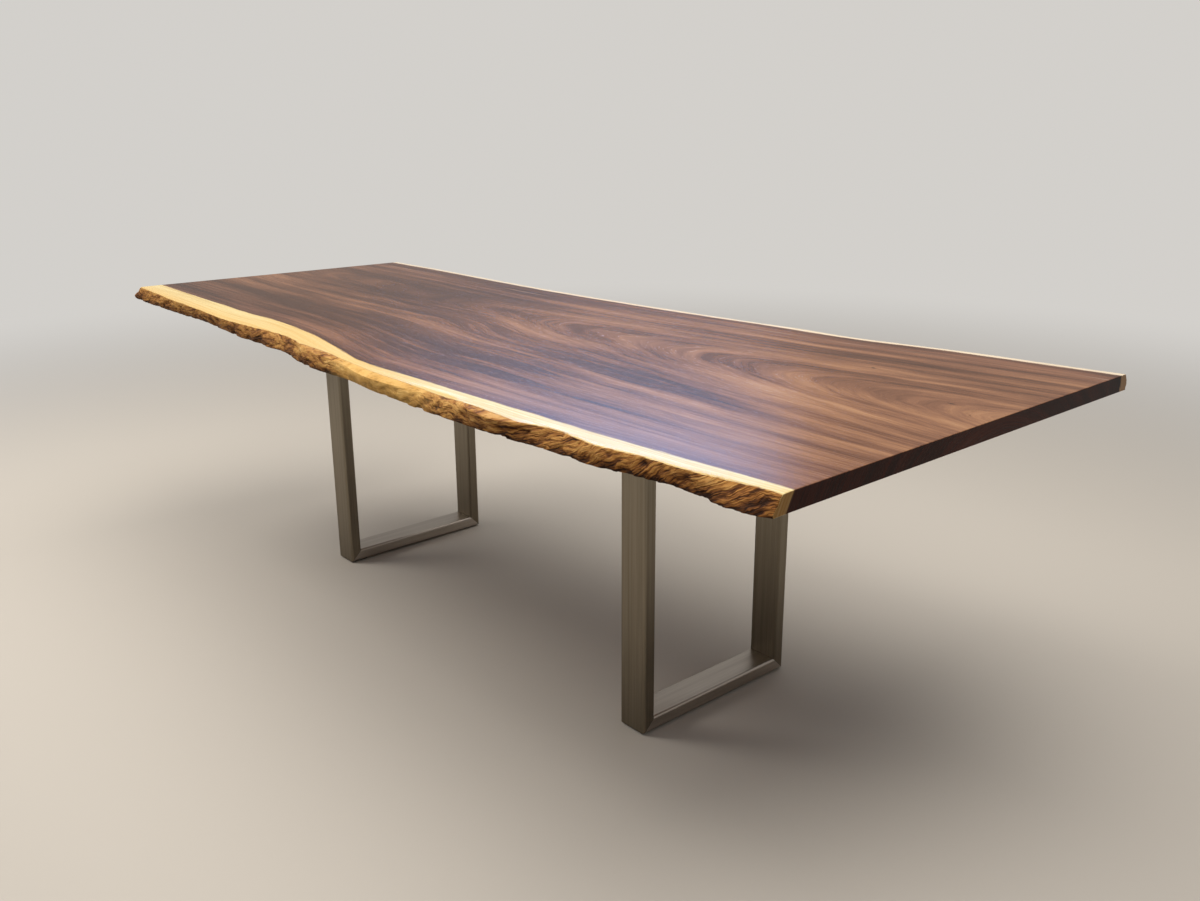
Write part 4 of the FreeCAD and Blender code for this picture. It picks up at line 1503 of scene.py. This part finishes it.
@dataclass(frozen=True)
class ULeg:
    """One leg: two uprights and a floor bar of flat tube, its plate, welds, fixings and pads."""

    name: str

    # Bolts, at the corners of a rectangle.
    row_gap: float = 0.052
    pitch: float = 0.240
    flats: int = 6
    flat_steps: int = 4
    head_width: float = 0.013
    head_height: float = 0.0053
    head_rim: float = 0.95
    chamfer_degrees: float = 30.0
    dish: float = 0.82
    dish_depth: float = 0.0002
    shank: float = 0.008
    shank_sides: int = 16
    bolt_length: float = 0.030
    tip_length: float = 0.001
    tip_share: float = 0.75

    # Washers under the plate, and threaded inserts in the slab.
    washer: float = 0.020
    washer_thickness: float = 0.002
    washer_play: float = 0.0002
    washer_ease: float = 0.0003
    washer_sides: int = 40
    insert: float = 0.012
    insert_length: float = 0.018
    insert_play: float = 0.0001
    insert_sides: int = 28
    collar: float = 0.0015
    ridges: int = 7
    ridge_start: float = 0.0025
    ridge_step: float = 0.0020
    ridge_rise: float = 0.0010
    ridge_depth: float = 0.0008

    # Weld beads round the heads of the uprights.
    tube_corner: float = 0.006
    corner_steps: int = 4
    weld_radius: float = 0.0042
    weld_step: float = 0.0021
    ripple_share: float = 0.46
    ripple_segments: int = 12

    def bolt_shape(self) -> bpy.types.Object:
        """A hex bolt, head down, with chamfered corners.

        Returns:
            The object, with the head's upper face at the origin.
        """
        flat, low, shank = self.head_width / 2, -self.head_height, self.shank / 2
        rim = flat * self.head_rim
        corner = math.tau / self.flats
        head: list[list[Place]] = [[], [], [], []]
        for step in range(self.flats * self.flat_steps):
            turn = corner * step / self.flat_steps
            radius = flat / math.cos((turn + corner / 2) % corner - corner / 2)
            ease = max(0.0, radius - rim) * math.tan(math.radians(self.chamfer_degrees))
            profile = ((radius, 0.0), (radius, low + ease), (rim, low),
                       (rim * self.dish, low + self.dish_depth))
            for ring, (reach, height) in zip(head, profile):
                ring.append((reach * math.cos(turn), reach * math.sin(turn), height))
        shaft = circles(((shank, 0.0), (shank, self.bolt_length - self.tip_length),
                         (shank * self.tip_share, self.bolt_length)), self.shank_sides)
        return loft(f"{self.name}_bolt_shape", False, head, shaft)

    def washer_shape(self) -> bpy.types.Object:
        """A flat washer with eased edges.

        Returns:
            The object, with the upper face at the origin.
        """
        outer, inner = self.washer / 2, self.shank / 2 + self.washer_play
        low, ease = -self.washer_thickness, self.washer_ease
        profile = ((inner, -ease), (inner, low + ease), (inner + ease, low), (outer - ease, low),
                   (outer, low + ease), (outer, -ease), (outer - ease, 0.0), (inner + ease, 0.0))
        return loft(f"{self.name}_washer_shape", True, circles(profile, self.washer_sides))

    def insert_shape(self) -> bpy.types.Object:
        """A threaded sleeve with a ridged outside.

        Returns:
            The object, with the lower face at the origin.
        """
        inner, outer = self.shank / 2 + self.insert_play, self.insert / 2
        root = outer - self.ridge_depth
        profile = [(inner, self.insert_length), (inner, 0.0), (outer, 0.0), (outer, self.collar)]
        for ridge in range(self.ridges):
            base = self.ridge_start + self.ridge_step * ridge
            profile += [(root, base), (outer, base + self.ridge_rise)]
        profile.append((root, self.insert_length))
        return loft(f"{self.name}_insert_shape", True, circles(profile, self.insert_sides))

    def ripple_shape(self) -> bpy.types.Object:
        """One ripple of a weld bead.

        Returns:
            The object, a thin rounded disc across the X axis.
        """
        sheet = bmesh.new()
        bmesh.ops.create_uvsphere(
            sheet, u_segments=self.ripple_segments, v_segments=self.ripple_segments // 2, radius=1.0)
        tall = self.weld_radius
        size = Matrix.Diagonal((tall * self.ripple_share, tall, tall, 1.0))
        bmesh.ops.transform(sheet, matrix=size @ Matrix.Rotation(math.pi / 2, 4, "Y"), verts=sheet.verts)
        made = show_sheet(sheet, f"{self.name}_ripple_shape")
        made.data.shade_smooth()
        return made

    def joint_outline(self) -> bpy.types.Object:
        """Edges round the heads of both uprights, where the welds run.

        Returns:
            An object of loose edges.
        """
        points: list[Place] = []
        edges: list[tuple[int, int]] = []
        corner = self.tube_corner
        for end in ("front", "rear"):
            low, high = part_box(f"{self.name}_{end}_upright")
            left, right, near, far = low.x + corner, high.x - corner, low.y + corner, high.y - corner
            first = len(points)
            for quarter, (x, y) in enumerate(((right, far), (left, far), (left, near), (right, near))):
                for step in range(self.corner_steps + 1):
                    turn = math.pi / 2 * (quarter + step / self.corner_steps)
                    points.append((x + corner * math.cos(turn), y + corner * math.sin(turn), high.z))
            count = len(points) - first
            edges += [(first + place, first + (place + 1) % count) for place in range(count)]
        mesh = bpy.data.meshes.new(f"{self.name}_joint_outline")
        mesh.from_pydata(points, edges, [])
        return show(mesh, mesh.name)

    def fixings(self, tree: PlacingTree, finishes: dict[Slot, bpy.types.Material]) -> None:
        """Set the bolts, washers and inserts.

        Args:
            tree: The tree that places them.
            finishes: Materials by slot.
        """
        plate_low, plate_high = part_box(f"{self.name}_mounting_plate")
        centre = (plate_low + plate_high) / 2
        for node, shape, slot, height in (
                ("bolts", self.bolt_shape(), Slot.BOLT, plate_low.z - self.washer_thickness),
                ("washers", self.washer_shape(), Slot.BOLT, plate_low.z),
                ("threaded_inserts", self.insert_shape(), Slot.INSERT, plate_high.z)):
            piece = tree.run(f"{self.name}_{node}_set", Gap=self.row_gap, Pitch=self.pitch,
                             Place=(centre.x, centre.y, height), Prototype=shape, Finish=finishes[slot])
            settle(piece, slot, f"{self.name}_{node}")

    def welds(self, tree: PlacingTree, finish: bpy.types.Material) -> None:
        """Lay the weld beads.

        Args:
            tree: The tree that lays them.
            finish: Their material.
        """
        piece = tree.run(f"{self.name}_weld_beads", Outline=self.joint_outline(), Step=self.weld_step,
                         Prototype=self.ripple_shape(), Finish=finish)
        settle(piece, Slot.WELD, f"{self.name}_plate_welds")

    def dress(self, finishes: dict[str, bpy.types.Material]) -> None:
        """Give the solids that stay their finishes.

        Args:
            finishes: Materials by the solids' names on a leg.
        """
        for part, material in finishes.items():
            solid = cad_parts[f"{self.name}_{part}"]
            solid.material_slots[0].material = material
            LOG.info("%s keeps its solid, in %s", solid.name, material.name)


@dataclass(frozen=True)
class PhotoCamera:
    """The camera, where the photograph was taken from."""

    place: Place = (2.2703, -1.76249, 1.35034)
    yaw: float = 0.8553773
    pitch: float = 0.3119585
    roll: float = -0.0050274
    focal_pixels: float = 1154.127
    image_width: float = 1200.0
    sensor_width: float = 36.0
    sees_to: float = 60.0

    def build(self) -> None:
        """Make the camera and look through it."""
        ahead = Vector((-math.sin(self.yaw) * math.cos(self.pitch),
                        math.cos(self.yaw) * math.cos(self.pitch), -math.sin(self.pitch)))
        right = Vector((math.cos(self.yaw), math.sin(self.yaw), 0.0))
        up = right.cross(ahead)
        right, up = (math.cos(self.roll) * right + math.sin(self.roll) * up,
                     math.cos(self.roll) * up - math.sin(self.roll) * right)
        data = bpy.data.cameras.new("photo_camera")
        data.sensor_width = self.sensor_width
        data.lens = self.focal_pixels * self.sensor_width / self.image_width
        data.clip_end = self.sees_to
        camera = show(data, "photo_camera")
        turn = Matrix((right, up, -ahead)).transposed().to_4x4()
        camera.matrix_world = Matrix.Translation(self.place) @ turn
        bpy.context.scene.camera = camera


@dataclass(frozen=True)
class SoftBox:
    """One soft lamp."""

    name: str
    place: Place
    aim: Place
    size: Pair
    power: float
    colour: Colour
    lights_only: str = ""

    def build(self) -> None:
        """Make the lamp."""
        data = bpy.data.lights.new(self.name, "AREA")
        data.shape = "ELLIPSE"
        data.size, data.size_y = self.size
        data.energy = self.power
        data.color = self.colour
        lamp = show(data, self.name)
        way = Vector(self.aim) - Vector(self.place)
        turn = way.to_track_quat("-Z", "Y").to_matrix().to_4x4()
        lamp.matrix_world = Matrix.Translation(self.place) @ turn
        lamp.visible_camera = False
        if self.lights_only:
            lit = bpy.data.collections.new(f"{self.name}_lights")
            lit.objects.link(bpy.data.objects[self.lights_only])
            lamp.light_linking.receiver_collection = lit


@dataclass(frozen=True)
class Studio:
    """A pale floor that curves up all round, soft lamps and a dim sky."""

    floor_colour: Colour = (0.55, 0.51, 0.455)
    floor_roughness: float = 0.75
    floor_profile: Line = (
        (0.0, 0.0), (3.0, 0.0), (6.0, 0.0), (7.2, 0.08), (8.1, 0.40), (8.7, 1.0), (9.0, 1.9), (9.1, 4.2))
    floor_sides: int = 96
    wall_colour: Colour = (0.65, 0.63, 0.60)
    wall_span: Pair = (1.7, 5.2)
    mirror_share: float = 0.5
    sky_colour: Colour = (0.80, 0.82, 0.86)
    sky_strength: float = 0.40
    lamps: tuple[SoftBox, ...] = (
        SoftBox("key_upper_left", place=(-2.6, -1.9, 3.4), aim=(0.0, -0.1, 0.6), size=(2.2, 2.2),
                power=115.0, colour=(1.0, 0.95, 0.88)),
        SoftBox("overhead", place=(0.8, 0.3, 3.6), aim=(0.5, 0.0, 0.7), size=(4.0, 3.0),
                power=110.0, colour=(1.0, 0.95, 0.88)),
        SoftBox("window_sheen", place=(-2.95, 2.60, 2.68), aim=(0.72, -0.45, 0.76), size=(2.7, 0.62),
                power=42.0, colour=(0.22, 0.50, 1.0), lights_only=SLAB_PIECE),
    )

    def seen(self, sheet: NodeSheet) -> Socket:
        """Rays that meet the painted background: the camera's, and a share of those off metal and glass.

        Args:
            sheet: Nodes of the floor or of the sky.

        Returns:
            Output that is 1 for the camera's rays.
        """
        rays = sheet.node("ShaderNodeLightPath").outputs
        mirrored = sheet.math("MAXIMUM", rays["Is Glossy Ray"], rays["Is Transmission Ray"])
        share = sheet.math("MULTIPLY", mirrored, self.mirror_share)
        return sheet.math("MAXIMUM", rays["Is Camera Ray"], share)

    def backdrop(self) -> bpy.types.Material:
        """A matte floor that turns to an even pale wall far from the table, for the eye and for mirrors.

        Returns:
            The material.
        """
        sheet = ShaderSheet("studio_floor")
        away = sheet.math("SQRT", sheet.add(sheet.times(sheet.y, sheet.y), (sheet.x, sheet.x)))
        share = sheet.times(self.seen(sheet), sheet.step(away, *self.wall_span))
        wall = sheet.made("ShaderNodeEmission", opaque(self.wall_colour))
        blend = sheet.made("ShaderNodeMixShader", share, sheet.surface.outputs[0], wall)
        sheet.feed(sheet.tree.nodes["Material Output"].inputs["Surface"], blend)
        return sheet.finish(Base_Color=self.floor_colour, Roughness=self.floor_roughness)

    def floor(self) -> None:
        """Make the floor."""
        rings = circles(self.floor_profile, self.floor_sides)
        mesh = bpy.data.meshes.new("studio_floor")
        mesh.from_pydata([point for ring in rings for point in ring], [],
                         ring_quads(len(rings), self.floor_sides).tolist())
        mesh.shade_smooth()
        mesh.materials.append(self.backdrop())
        floor = show(mesh, "studio_floor")

    def build(self) -> None:
        """Make the floor, the lamps and the sky."""
        self.floor()
        for lamp in self.lamps:
            lamp.build()
        world = bpy.data.worlds.new("studio_sky")
        world.use_nodes = True
        sheet = NodeSheet(world.node_tree)
        sky = sheet.tree.nodes["Background"]
        sheet.feed(sky.inputs["Color"], opaque(self.sky_colour))
        sheet.feed(sky.inputs["Strength"], self.sky_strength)
        wall = sheet.made("ShaderNodeBackground", opaque(self.wall_colour))
        blend = sheet.made("ShaderNodeMixShader", self.seen(sheet), sky.outputs[0], wall)
        sheet.feed(sheet.tree.nodes["World Output"].inputs["Surface"], blend)
        bpy.context.scene.world = world
        bpy.context.scene.view_settings.view_transform = "Standard"


def main() -> None:
    """Build the table and its studio."""
    logging.basicConfig(level=logging.INFO, format="%(name)s: %(message)s")
    LiveEdgeSlab().build()
    finishes = {slot: metal.material() for slot, metal in METALS.items()}
    upright, rubber = UPRIGHT.material(), PadRubber().material()
    kept = {"front_upright": upright, "rear_upright": upright, "floor_bar": HIGHLIT_FLOOR_BAR_STEEL.material(),
            "mounting_plate": PLATE.material(), "front_floor_pad": rubber, "rear_floor_pad": rubber}
    on_rectangle, along_joint = grid_tree(), bead_tree()
    for name in ("left", "right"):
        leg = ULeg(name)
        leg.fixings(on_rectangle, finishes)
        leg.welds(along_joint, finishes[Slot.WELD])
        leg.dress(kept)
    Studio().build()
    PhotoCamera().build()


if __name__ == "__main__":
    main()
